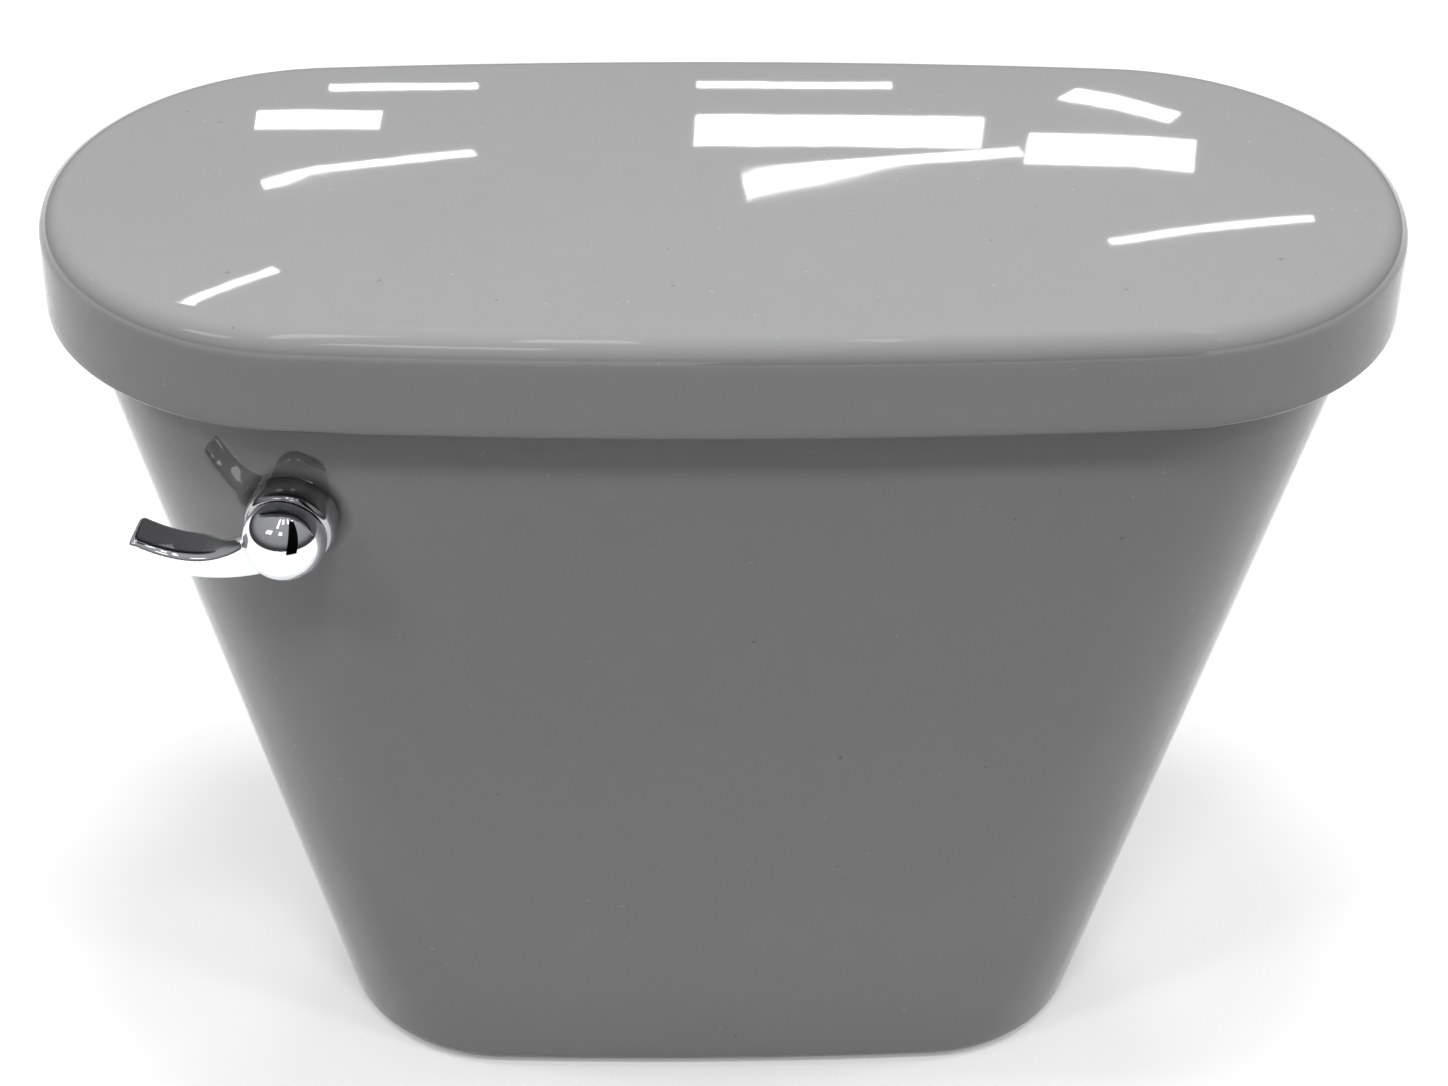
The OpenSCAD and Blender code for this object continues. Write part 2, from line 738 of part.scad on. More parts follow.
module overflow_tube() {
    color(white_plastic)
        translate([overflow_x, 0, 0])
            difference() {
                union() {
                    translate([0, 0, socket_ledge])
                        cylinder(r = overflow_r, h = overflow_top - socket_ledge);
                    translate([0, 0, hinge_z])
                        rotate([90, 0, 0])
                            cylinder(r = peg_r, h = 2 * (overflow_r + peg_l), center = true);
                }
                translate([0, 0, socket_ledge - eps])
                    cylinder(r = overflow_r - overflow_wall, h = overflow_top - socket_ledge + 2 * eps);
            }
}

module flapper() {
    shape = [[0, seat_z - bulb_h], [bulb_r * 0.38, seat_z - bulb_h], [bulb_r * 0.5, seat_z - bulb_h + 2],
        [bulb_r * 0.85, seat_z - bulb_h * 0.42], [bulb_r, seat_z - 4], [bulb_r, seat_z],
        [flapper_r, seat_z], [flapper_r + 0.4, seat_z + flapper_t * 0.4],
        [flapper_r - 1, seat_z + flapper_t * 0.8],
        [bulb_r, seat_z + flapper_t], [bulb_r * 0.8, seat_z + flapper_t + 3],
        [bulb_r * 0.5, seat_z + flapper_t + 5], [0, seat_z + flapper_t + 5.5]];
    arm_low = seat_z + flapper_t * 0.5;
    color(red_rubber)
        union() {
            rotate_extrude()
                polygon(shape);
            for (s = [-1, 1]) {
                difference() {
                    union() {
                        translate([overflow_x, s * (ear_in + ear_t / 2), hinge_z])
                            rotate([90, 0, 0])
                                cylinder(r = ear_r, h = ear_t, center = true);
                        translate([10, s * (ear_in + ear_t / 2) - ear_t / 2, arm_low])
                            cube([overflow_x - 10 - peg_r, ear_t, hinge_z + peg_r - arm_low]);
                    }
                    translate([overflow_x, 0, hinge_z])
                        rotate([90, 0, 0])
                            cylinder(r = peg_r + run_gap, h = 4 * ear_in, center = true);
                }
                translate([-chain_x, s * post_y, seat_z + flapper_t * 0.5])
                    cylinder(r = post_r, h = bar_z + bar_r + 1 - seat_z - flapper_t * 0.5);
            }
            translate([-chain_x, 0, bar_z])
                rotate([90, 0, 0])
                    cylinder(r = bar_r, h = 2 * post_y, center = true);
        }
}

module flush_valve_washer() {
    color(rubber)
        tube(flange_r - 1, outlet_shank_r + 0.5, floor_z, flange_z);
}

module flush_valve_nut() {
    color(black_plastic)
        difference() {
            union() {
                translate([0, 0, recess_h - lock_nut_t])
                    cylinder(r = lock_nut_r - 4, h = lock_nut_t);
                translate([0, 0, recess_h - 3])
                    cylinder(r = lock_nut_r, h = 3);
                for (a = [0:60:300])
                    rotate([0, 0, a])
                        translate([lock_nut_r - 8, -4, recess_h - lock_nut_t])
                            cube([7, 8, lock_nut_t]);
            }
            translate([0, 0, recess_h - lock_nut_t - eps])
                cylinder(r = outlet_shank_r + lock_gap, h = lock_nut_t + 2 * eps);
        }
}

module bowl_gasket() {
    top = recess_h - lock_nut_t;
    in_r = outlet_shank_r + 0.6;
    color(rubber)
        rotate_extrude()
            polygon([[in_r, shank_end], [gasket_r - 8, shank_end], [gasket_r, shank_end + 8], [gasket_r, top],
                [in_r, top]]);
}

module fill_valve_shank() {
    top_bore = riser_r + 0.1;
    shape = [[inlet_bore_r, inlet_end], [inlet_thread_r - 1, inlet_end], [inlet_thread_r, inlet_end + 1],
        [inlet_thread_r, recess_h - inlet_nut_t - 1], [inlet_r, recess_h - inlet_nut_t - 1],
        [inlet_r, flange_z],
        [inlet_flange_r, flange_z], [inlet_flange_r, body_z], [lower_r, body_z + 3], [lower_r, lower_top],
        [top_bore, lower_top], [top_bore, riser_z], [riser_r - riser_wall, riser_z],
        [inlet_bore_r, riser_z - 4]];
    color(grey_plastic)
        translate(inlet_at)
            rotate_extrude()
                polygon(shape);
}

module fill_valve_washer() {
    color(rubber)
        translate(inlet_at)
            tube(inlet_flange_r, inlet_r + 0.5, floor_z, flange_z);
}

module fill_valve_nut() {
    color(white_plastic)
        translate(inlet_at + [0, 0, recess_h - inlet_nut_t])
            difference() {
                union() {
                    cylinder(r = inlet_nut_r - 1, h = inlet_nut_t, $fn = 8);
                    translate([0, 0, inlet_nut_t - 2.5])
                        cylinder(r = inlet_nut_r, h = 2.5);
                }
                translate([0, 0, -eps])
                    cylinder(r = inlet_r + 0.2, h = inlet_nut_t + 2 * eps);
            }
}

module fill_valve_riser() {
    color(white_plastic)
        translate(inlet_at)
            tube(riser_r, riser_r - riser_wall, riser_z, cap_z + cap_collar);
}

module fill_valve_lock_ring() {
    color(black_plastic)
        translate(inlet_at + [0, 0, lower_top])
            difference() {
                union() {
                    cylinder(r = lock_ring_r, h = lock_ring_t);
                    for (a = [0:30:330])
                        rotate([0, 0, a])
                            translate([lock_ring_r - 1, -1.5, 0])
                                cube([2, 3, lock_ring_t - 2]);
                }
                translate([0, 0, -eps])
                    cylinder(r = riser_r + 0.2, h = lock_ring_t + 2 * eps);
            }
}

module fill_valve_float() {
    top = float_z + float_h;
    in_r = riser_r + slip_gap;
    shape = [[in_r, float_z], [in_r + float_wall, float_z], [in_r + float_wall, top - float_wall],
        [float_r - float_wall, top - float_wall], [float_r - float_wall, float_z], [float_r, float_z],
        [float_r, top - 3], [float_r - 3, top], [in_r, top]];
    color(black_plastic)
        translate(inlet_at)
            difference() {
                union() {
                    rotate_extrude()
                        polygon(shape);
                    difference() {
                        translate([-lug_w / 2, float_r - float_wall / 2 - 2, lug_z])
                            cube([lug_w, rod_out + 5 - float_r + float_wall / 2 + 2, lug_t]);
                        translate([0, 0, lug_z - eps])
                            cylinder(r = float_r - float_wall / 2, h = lug_t + 2 * eps);
                    }
                }
                translate([0, rod_out, lug_z - eps])
                    cylinder(r = rod_r + run_gap, h = lug_t + 2 * eps);
            }
}

module float_adjust_rod() {
    low = lug_z - 14;
    arm_low = arm_pin_z - valve_arm_t / 2;
    arm_high = arm_pin_z + valve_arm_t / 2;
    color(steel)
        translate([-inlet_x, rod_y, 0])
            union() {
                translate([0, 0, low])
                    cylinder(r = rod_r, h = arm_high + rod_play + 2 - low);
                translate([0, 0, arm_high + rod_play])
                    cylinder(r = rod_head_r, h = 2);
                translate([0, 0, arm_low - rod_play - 2])
                    cylinder(r = rod_head_r, h = 2);
            }
}

module float_adjust_clip() {
    z0 = lug_z + lug_t;
    color(steel)
        translate([-inlet_x, rod_y, z0])
            difference() {
                translate([-4.5, -3.4, 0])
                    cube([9, 9, 9]);
                translate([-6, -2.6, 1])
                    cube([12, 7, 7]);
                translate([0, 0, -eps])
                    cylinder(r = rod_r + run_gap, h = 12);
            }
}

module fill_valve_cap() {
    shape = [[riser_r + 0.1, cap_z], [riser_r + 5, cap_z], [riser_r + 5, cap_z + 6], [cap_r - 2, cap_z + 9],
        [cap_r, cap_z + 12], [cap_r, cap_top - 3], [cap_r - 3, cap_top], [0, cap_top], [0, cap_top - cap_wall],
        [cap_r - cap_wall, cap_top - cap_wall], [cap_r - cap_wall, seal_z - 4],
        [riser_r - riser_wall, seal_z - 6],
        [riser_r - riser_wall, cap_z + cap_collar], [riser_r + 0.1, cap_z + cap_collar]];
    ear_x = valve_arm_w / 2 + ear_gap;
    color(grey_plastic)
        difference() {
            union() {
                translate(inlet_at)
                    rotate_extrude()
                        polygon(shape);
                for (s = [0, 1])
                    mirror([s, 0, 0])
                        translate([s * 2 * inlet_x, 0, 0])
                            translate([-inlet_x + ear_x, arm_pin_y, 0]) {
                                translate([0, 0, arm_pin_z])
                                    rotate([0, 90, 0])
                                        cylinder(r = cap_ear_r, h = cap_ear_t);
                                translate([0, -cap_ear_r, cap_top - 1])
                                    cube([cap_ear_t, 2 * cap_ear_r, arm_pin_z - cap_top + 1]);
                            }
                translate(tube_at - [0, 0, 2])
                    cylinder(r = nipple_r, h = nipple_l + 2);
            }
            translate([-inlet_x, arm_pin_y, arm_pin_z])
                rotate([0, 90, 0])
                    cylinder(r = pin_r + 0.02, h = 8 * valve_arm_w, center = true);
            translate(tube_at - [0, 0, 2 + cap_wall])
                cylinder(r = nipple_r - 1.2, h = nipple_l + 4 + cap_wall);
        }
}

module fill_valve_seal() {
    color(rubber)
        translate(inlet_at + [0, 0, seal_z])
            union() {
                cylinder(r = seal_r, h = seal_t);
                translate([0, 0, -3])
                    cylinder(r = riser_r - riser_wall - 1, h = 3);
            }
}

module fill_valve_arm() {
    reach = rod_y + slot_out + 2 - arm_pin_y;
    rib_l = rod_y - slot_in - 4 - arm_pin_y;
    color(grey_plastic)
        translate([-inlet_x, arm_pin_y, arm_pin_z])
            difference() {
                union() {
                    translate([-valve_arm_w / 2, 0, -valve_arm_t / 2])
                        cube([valve_arm_w, reach, valve_arm_t]);
                    rotate([0, 90, 0])
                        cylinder(r = pin_r + 2.2, h = valve_arm_w, center = true);
                    translate([-1.5, 3, 0])
                        cube([3, rib_l - 3, valve_arm_t / 2 + 2]);
                }
                rotate([0, 90, 0])
                    cylinder(r = pin_r + run_gap, h = 2 * valve_arm_w, center = true);
                translate([-rod_r - 0.5, rod_y - arm_pin_y - slot_in, -valve_arm_t])
                    cube([2 * rod_r + 1, slot_in + slot_out, 2 * valve_arm_t]);
            }
}

module fill_valve_arm_pin() {
    half = valve_arm_w / 2 + ear_gap + cap_ear_t;
    color(steel)
        translate([-inlet_x - half - 1, arm_pin_y, arm_pin_z])
            rotate([0, 90, 0])
                union() {
                    cylinder(r = pin_r, h = 2 * half + 2);
                    translate([0, 0, -1.2])
                        cylinder(r = pin_r + 1.5, h = 2.2);
                }
}

// A ring of the refill tube at x and z of its own plane, its way turned by a from straight up.
function pipe_ring(r, x, z, a) = [for (b = [0:15:345])
    [x + r * cos(b) * cos(a), r * sin(b), z - r * cos(b) * sin(a)]];

// Up from the cap, a quarter bend, level, a quarter bend, and down to the overflow tube.
function pipe_rings(r, over) = concat(
    [pipe_ring(r, 0, tube_at[2] - over, 0)],
    [for (a = [0:10:90]) pipe_ring(r, tube_bend * (1 - cos(a)), tube_z - tube_bend * (1 - sin(a)), a)],
    [for (a = [90:10:180])
        pipe_ring(r, tube_run - tube_bend * (1 + cos(a)), tube_z - tube_bend * (1 - sin(a)), a)],
    [pipe_ring(r, tube_run, tube_to[2] - over, 180)]);

module refill_tube() {
    color(clear_plastic)
        translate([tube_at[0], tube_at[1], 0])
            rotate([0, 0, tube_way])
                difference() {
                    loft(pipe_rings(tube_r, 0));
                    loft(pipe_rings(tube_bore_r, eps));
                }
}

module refill_clip() {
    leg_y = overflow_r + 0.3;
    color(grey_plastic)
        translate([overflow_x, 0, overflow_top])
            difference() {
                union() {
                    translate([-clip_w / 2, -leg_y - clip_t, 0])
                        cube([clip_w, 2 * (leg_y + clip_t), clip_t]);
                    for (s = [0, 1])
                        mirror([0, s, 0])
                            translate([-clip_w / 2, leg_y, -clip_leg])
                                cube([clip_w, clip_t, clip_leg + 1]);
                    translate([0, 0, -spout_l / 2])
                        cylinder(r = nipple_r, h = spout_l / 2 + 16);
                    cylinder(r = nipple_r + 2, h = 6);
                }
                translate([0, 0, -spout_l])
                    cylinder(r = nipple_r - 1.2, h = 3 * spout_l);
            }
}

module tank_bolt(s) {
    color(brass)
        translate([s * bolt_span / 2, 0, 0])
            difference() {
                rotate_extrude()
                    polygon([[0, bolt_end], [bolt_thread_r - 0.8, bolt_end], [bolt_thread_r, bolt_end + 0.8],
                        [bolt_thread_r, bolt_nut_z - 1], [bolt_r, bolt_nut_z - 1], [bolt_r, bolt_head_z],
                        [bolt_head_r, bolt_head_z], [bolt_head_r, bolt_head_z + bolt_head_t * 0.5],
                        [bolt_head_r * 0.6, bolt_head_z + bolt_head_t], [0, bolt_head_z + bolt_head_t]]);
                translate([-bolt_head_r - eps, -0.8, bolt_head_z + bolt_head_t - 2.2])
                    cube([2 * bolt_head_r + 2 * eps, 1.6, 4]);
            }
}

module bolt_seal(s) {
    color(rubber)
        translate([s * bolt_span / 2, 0, 0])
            tube(bolt_seal_r, bolt_seal_hole, floor_z, bolt_head_z);
}

module bolt_washer(s) {
    color(steel)
        translate([s * bolt_span / 2, 0, 0])
            tube(bolt_washer_r, bolt_r + 0.3, bolt_washer_z, recess_h);
}

module bolt_nut(s) {
    color(brass)
        translate([s * bolt_span / 2, 0, bolt_nut_z])
            difference() {
                cylinder(r = bolt_nut_r, h = bolt_nut_t, $fn = 6);
                translate([0, 0, -eps])
                    cylinder(r = bolt_r + 0.1, h = bolt_nut_t + 2 * eps);
            }
}

module tank_bolt_left() {
    tank_bolt(-1);
}

module tank_bolt_right() {
    tank_bolt(1);
}

module bolt_seal_left() {
    bolt_seal(-1);
}

module bolt_seal_right() {
    bolt_seal(1);
}

module bolt_washer_left() {
    bolt_washer(-1);
}

module bolt_washer_right() {
    bolt_washer(1);
}

module bolt_nut_left() {
    bolt_nut(-1);
}

module bolt_nut_right() {
    bolt_nut(1);
}

tank();
lid();
lever_bushing();
lever_nut();
lever_handle();
trip_arm();
arm_set_screw();
chain_hook();
chain();
chain_ring();
flush_valve_body();
overflow_tube();
flapper();
flush_valve_washer();
flush_valve_nut();
bowl_gasket();
fill_valve_shank();
fill_valve_washer();
fill_valve_nut();
fill_valve_riser();
fill_valve_lock_ring();
fill_valve_float();
float_adjust_rod();
float_adjust_clip();
fill_valve_cap();
fill_valve_seal();
fill_valve_arm();
fill_valve_arm_pin();
refill_tube();
refill_clip();
tank_bolt_left();
tank_bolt_right();
bolt_seal_left();
bolt_seal_right();
bolt_washer_left();
bolt_washer_right();
bolt_nut_left();
bolt_nut_right();
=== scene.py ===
# %% [markdown]
# # A toilet cistern, dressed over its CAD frame
# The frame holds every solid of the cistern in its true place, in metres: +X to the viewer's right, +Y towards the
# wall behind, +Z up, with the origin on the outlet's axis in the plane of the foot. This lesson dresses it. The china
# is drawn again from one rule as a fine smooth skin, the chrome lever gets a cast form, screw threads and the ball
# chain are repeated by Geometry Nodes, and every other solid keeps its shape and gets a finish.

# %% Load the frame
import bpy
import bmesh
import json
from math import acos, atan, atan2, copysign, cos, pi, radians, sin, sqrt
from mathutils import Euler, Matrix, Vector


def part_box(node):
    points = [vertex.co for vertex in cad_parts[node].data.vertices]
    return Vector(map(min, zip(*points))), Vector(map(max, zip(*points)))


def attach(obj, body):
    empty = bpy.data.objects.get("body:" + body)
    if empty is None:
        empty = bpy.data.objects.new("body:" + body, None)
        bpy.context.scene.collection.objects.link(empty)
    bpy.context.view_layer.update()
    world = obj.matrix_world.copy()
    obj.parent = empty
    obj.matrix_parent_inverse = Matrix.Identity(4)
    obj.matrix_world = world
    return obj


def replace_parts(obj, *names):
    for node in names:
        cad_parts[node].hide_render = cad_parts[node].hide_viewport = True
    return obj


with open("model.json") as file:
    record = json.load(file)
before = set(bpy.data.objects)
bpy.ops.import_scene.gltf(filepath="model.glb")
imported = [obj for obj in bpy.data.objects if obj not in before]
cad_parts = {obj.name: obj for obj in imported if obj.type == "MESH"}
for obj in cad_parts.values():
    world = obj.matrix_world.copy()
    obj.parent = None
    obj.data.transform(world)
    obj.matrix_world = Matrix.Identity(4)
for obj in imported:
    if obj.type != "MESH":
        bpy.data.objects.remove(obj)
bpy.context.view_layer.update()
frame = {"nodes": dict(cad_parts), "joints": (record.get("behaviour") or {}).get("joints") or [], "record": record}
MM = 0.001
LEVER = next(joint for joint in frame["joints"] if joint["name"] == "handle_turn")

# %% [markdown]
# ## The view
# The camera stands in front of the cistern and looks down on the lid. Its place, turn and focal length were found by
# fitting the lid's and the tank's outlines, so they are written down as numbers: the place in metres, the turn in
# degrees, the focal length in pixels of an image 1448 wide.

# %% Camera
IMAGE_WIDTH, FOCAL_PIXELS, SENSOR = 1448, 3339.2, 36
CAMERA_PLACE = Vector((-0.047111, -1.112880, 0.985722))
CAMERA_TURN = Euler([radians(angle) for angle in (55.263638, -1.009764, -1.837841)])
camera = bpy.data.objects.new("front_view", bpy.data.cameras.new("front_view"))
bpy.context.scene.collection.objects.link(camera)
camera.matrix_world = Matrix.LocRotScale(CAMERA_PLACE, CAMERA_TURN, None)
camera.data.sensor_fit = "HORIZONTAL"
camera.data.sensor_width = SENSOR
camera.data.lens = FOCAL_PIXELS / IMAGE_WIDTH * SENSOR
camera.data.clip_start = 0.02
bpy.context.scene.camera = camera
bpy.context.scene.view_settings.view_transform = "Standard"
print("camera: lens", round(camera.data.lens, 2), "mm")

# %% [markdown]
# ## Sums on sockets
# A finish is a small sum: a base, plus a little noise, times a mask. Written with nodes alone such a sum is hard to
# read, so one class wraps a socket and lets Python's own signs add the Math nodes. The same class serves the
# Geometry Nodes trees, because both kinds of tree share the Math node.

# %% The socket class
class Wire:
    """One socket of a node tree that can be used in sums."""

    def __init__(self, tree, socket=None):
        self.tree = tree
        self.socket = socket

    def node(self, kind, settings=None, sockets=None, out=0):
        """Adds a node: settings first, then values or links of its sockets. Gives one output as a Wire."""
        made = self.tree.nodes.new(kind)
        for name, value in (settings or {}).items():
            if name == "stops":
                ramp = made.color_ramp.elements
                while len(ramp) < len(value):
                    ramp.new(0.5)
                for stop, (place, colour) in zip(ramp, value):
                    stop.position = place
                    stop.color = colour
            else:
                setattr(made, name, value)
        for name, value in (sockets or {}).items():
            if isinstance(value, Wire):
                self.tree.links.new(value.socket, made.inputs[name])
            else:
                made.inputs[name].default_value = value
        return Wire(self.tree, made.outputs[out])

    def math(self, operation, *values):
        return self.node("ShaderNodeMath", {"operation": operation}, dict(enumerate(values)))

    def __add__(self, other):
        return self.math("ADD", self, other)

    def __radd__(self, other):
        return self.math("ADD", other, self)

    def __sub__(self, other):
        return self.math("SUBTRACT", self, other)

    def __rsub__(self, other):
        return self.math("SUBTRACT", other, self)

    def __mul__(self, other):
        return self.math("MULTIPLY", self, other)

    def __rmul__(self, other):
        return self.math("MULTIPLY", other, self)

    def __truediv__(self, other):
        return self.math("DIVIDE", self, other)

    def __pow__(self, other):
        return self.math("POWER", self, other)

    def __abs__(self):
        return self.math("ABSOLUTE", self)

    def __lt__(self, other):
        return self.math("LESS_THAN", self, other)

    def __gt__(self, other):
        return self.math("GREATER_THAN", self, other)

    def least(self, other):
        return self.math("MINIMUM", self, other)

    def most(self, other):
        return self.math("MAXIMUM", self, other)

    def between(self, low, high):
        """0 below low, 1 above high, smooth between them."""
        return self.node("ShaderNodeMapRange", {"interpolation_type": "SMOOTHSTEP"},
                         {"Value": self, "From Min": low, "From Max": high})


def tint(w, share, low, high):
    """A colour between two, by a share from 0 to 1."""
    return w.node("ShaderNodeMix", {"data_type": "RGBA"}, {0: share, 6: (*low, 1), 7: (*high, 1)}, 2)


def parts(w, vector):
    """The three numbers of a vector."""
    return [w.node("ShaderNodeSeparateXYZ", {}, {0: vector}, axis) for axis in "XYZ"]


# %% [markdown]
# ## The stage
# The cistern stands on a plain pale floor. The floor is pale paint that also glows a little for the eye and for
# mirrors, so it reads as white paper while its soft shadow stays. Chrome and glaze show that paper too.

# %% Floor
FLOOR_REACH, FLOOR_SIDES = 14, 64
NEAR_FLOOR, FAR_FLOOR = (0.25, 0.9), (1.0, 4.0)


def stage_finish(name, paint, glow=0.0, far_glow=0.0, thrown=(1.0, 1.0)):
    """Flat paint, with a glow that only the camera, mirrors and glass see; thrown is the share of the paint that
    bounced light meets, at the near and the far end of NEAR_FLOOR."""
    material = bpy.data.materials.new(name)
    material.use_nodes = True
    tree = material.node_tree
    tree.nodes.clear()
    w = Wire(tree)
    paths = tree.nodes.new("ShaderNodeLightPath").outputs
    seen = Wire(tree, paths["Is Camera Ray"]).most(Wire(tree, paths["Is Glossy Ray"]))
    seen = seen.most(Wire(tree, paths["Is Transmission Ray"]))
    place = w.node("ShaderNodeTexCoord", {}, {}, "Object")
    away = w.node("ShaderNodeVectorMath", {"operation": "LENGTH"}, {0: place}, "Value")
    bounced = thrown[0] + away.between(*NEAR_FLOOR) * (thrown[1] - thrown[0])
    share = bounced + seen * (1 - bounced)
    matt = w.node("ShaderNodeBsdfDiffuse", {}, {"Color": tint(w, share, (0, 0, 0), (paint, paint, paint))})
    # the lamps don't reach far, so the glow makes up for them there
    shine = glow + away.between(*FAR_FLOOR) * (far_glow - glow)
    light = w.node("ShaderNodeEmission", {}, {"Strength": seen * shine})
    both = w.node("ShaderNodeAddShader", {}, {0: matt, 1: light})
    tree.links.new(both.socket, tree.nodes.new("ShaderNodeOutputMaterial").inputs["Surface"])
    return material


def flat_card(name, corners, material, mirrored_only=False):
    """A flat stage card of any outline, in metres; one that is only mirrored gives no shade and no light."""
    mesh = bpy.data.meshes.new(name)
    mesh.from_pydata([tuple(c) for c in corners], [], [tuple(range(len(corners)))])
    mesh.materials.append(material)
    card = bpy.data.objects.new(name, mesh)
    bpy.context.scene.collection.objects.link(card)
    card.visible_camera = not mirrored_only
    card.visible_diffuse = not mirrored_only
    card.visible_shadow = not mirrored_only


around = [2 * pi * k / FLOOR_SIDES for k in range(FLOOR_SIDES)]
flat_card("floor", [(FLOOR_REACH * cos(a), FLOOR_REACH * sin(a), 0) for a in around],
          stage_finish("pale_floor", paint=0.98, glow=0.24, far_glow=0.95, thrown=(0.22, 0.0)))
print("stage: floor")

# %% [markdown]
# ### Room and lamps
# The room is pale above and dark near the horizon. Six soft boxes hang above and in front in two rows: together they
# light the lid fully, the front at a slant, and leave the wall just below the lid in its own soft shade. A seventh
# lifts the back. What the gloss mirrors is set apart from that light: bright panes behind the cistern show in the lid;
# panes overhead, windows in front and a dark card show in the lever's ball. Without such reflections a
# glossy top would look like paper.

# %% Room, soft boxes and panes
# the room's grey at shares of the height from the horizon to the zenith
ROOM_GREYS = ((0.0, 0.05), (0.12, 0.06), (0.34, 0.3), (1.0, 0.4))


def room():
    world = bpy.data.worlds.new("room")
    world.use_nodes = True
    bpy.context.scene.world = world
    tree = world.node_tree
    tree.nodes.clear()
    w = Wire(tree)
    way = w.node("ShaderNodeTexCoord", {}, {}, "Generated")
    height = w.node("ShaderNodeSeparateXYZ", {}, {0: way}, "Z")
    stops = [(share, (grey, grey, grey, 1)) for share, grey in ROOM_GREYS]
    shade = w.node("ShaderNodeValToRGB", {"stops": stops}, {"Fac": height})
    light = w.node("ShaderNodeBackground", {}, {"Color": shade, "Strength": 1.0})
    tree.links.new(light.socket, tree.nodes.new("ShaderNodeOutputWorld").inputs["Surface"])


def soft_box(name, place, aim, size, power):
    data = bpy.data.lights.new(name, "AREA")
    data.shape = "RECTANGLE"
    data.size, data.size_y = size
    data.energy = power
    lamp = bpy.data.objects.new(name, data)
    lamp.location = place
    lamp.rotation_euler = (Vector(aim) - Vector(place)).to_track_quat("-Z", "Y").to_euler()
    lamp.visible_camera = False
    lamp.visible_glossy = False
    bpy.context.scene.collection.objects.link(lamp)


def pane_light(strength):
    material = bpy.data.materials.new("pane_light")
    material.use_nodes = True
    tree = material.node_tree
    tree.nodes.clear()
    light = Wire(tree).node("ShaderNodeEmission", {}, {"Strength": strength})
    tree.links.new(light.socket, tree.nodes.new("ShaderNodeOutputMaterial").inputs["Surface"])
    return material


room()
BOX_POWER, BOX_SIZE, BOX_HEIGHT = 12.2, (0.5, 0.34), 2.5
BACK_POWER, BACK_SIZE = 7, (0.9, 0.5)
for x in (-1.6, 0.0, 1.6):
    for y in (-1.4, -0.2):
        soft_box("soft_box", (x, y, BOX_HEIGHT), (x, y, 0), BOX_SIZE, BOX_POWER)
soft_box("back_box", (0, 1.8, BOX_HEIGHT), (0, 0.1, 0.2), BACK_SIZE, BACK_POWER)

# plain panes on an upright plane behind the cistern: middle x and z, length and height in metres, tilt in degrees
PANE_Y, PANE_STRENGTH = 2.0, 13.0
PANES = {
    "left_window": (-0.35, 1.3, 0.15, 0.06, 5),
    "left_rail": (-0.3, 1.45, 0.25, 0.02, -15),
    "far_left_rail": (-0.25, 1.2, 0.15, 0.02, 0),
    "far_right_rail": (0.15, 1.2, 0.2, 0.02, 0),
    "right_window": (0.2, 1.35, 0.3, 0.1, 0),
    "right_rail": (0.25, 1.45, 0.3, 0.03, -15),
    "end_window": (0.5, 1.4, 0.2, 0.1, 0),
    "far_end_rail": (0.5, 1.25, 0.15, 0.04, 25),
    "near_right_rail": (0.65, 1.6, 0.3, 0.02, -20),
    "near_left_rail": (-0.5, 1.8, 0.2, 0.02, -35),
}


def pane_corners(x, z, length, height, tilt):
    turn = Matrix.Rotation(radians(-tilt), 3, "Y")
    corners = ((-1, -1), (1, -1), (1, 1), (-1, 1))
    return [Vector((x, PANE_Y, z)) + turn @ Vector((i * length / 2, 0, k * height / 2)) for i, k in corners]


# outlines of the panes overhead, (x, y) in metres
OVER_Z, OVER_STRENGTH = 2.6, 2.8
OVERHEAD = [
    [(-0.9, -1.3), (-0.66, -1.3), (-0.34, -0.2), (-0.46, -0.2)],
    [(-0.24, -0.8), (-0.04, -0.8), (-0.06, -0.25), (-0.18, -0.25)],
    [(0.34, -0.75), (0.5, -0.72), (0.3, -0.2), (0.2, -0.22)],
    [(0.95, -0.65), (1.12, -0.58), (0.76, -0.12), (0.66, -0.18)],
]
pane_glow = pane_light(PANE_STRENGTH)
for name, sizes in PANES.items():
    flat_card(name, pane_corners(*sizes), pane_glow, mirrored_only=True)
# windows in front, each from its left to its right foot, in metres, and as high as WINDOW_H
WINDOW_H = 0.65
WINDOWS = [((-2.3, -1.3, 1.9), (-1.5, -1.6, 1.9)), ((-0.7, -2.2, 2.3), (-0.25, -2.3, 2.3)),
           ((1.0, -1.9, 1.75), (1.45, -1.7, 1.75))]
over_glow = pane_light(OVER_STRENGTH)
for outline in OVERHEAD:
    flat_card("pane", [(x, y, OVER_Z) for x, y in outline], over_glow, mirrored_only=True)
for left, right in WINDOWS:
    rise = Vector((0, 0, WINDOW_H))
    flat_card("window", [left, right, Vector(right) + rise, Vector(left) + rise], over_glow, mirrored_only=True)
flat_card("dark_card", [(0.0, -1.6, 0), (0.7, -1.4, 0), (0.62, -0.2, 2.0), (0.25, -0.3, 2.0)],
          stage_finish("dark_cloth", paint=0.015), mirrored_only=True)
print("lamps: 7 soft boxes,", len(PANES) + len(OVERHEAD) + len(WINDOWS), "panes")

# %% [markdown]
# ## Finishes
# Each finish starts from a Principled shader. What is the same all over is set on the shader itself; what changes
# over the surface, such as mottling, smears and fine waves, comes from noise in Object coordinates, in metres, so the
# detail has its real size and stays on the piece when it moves.

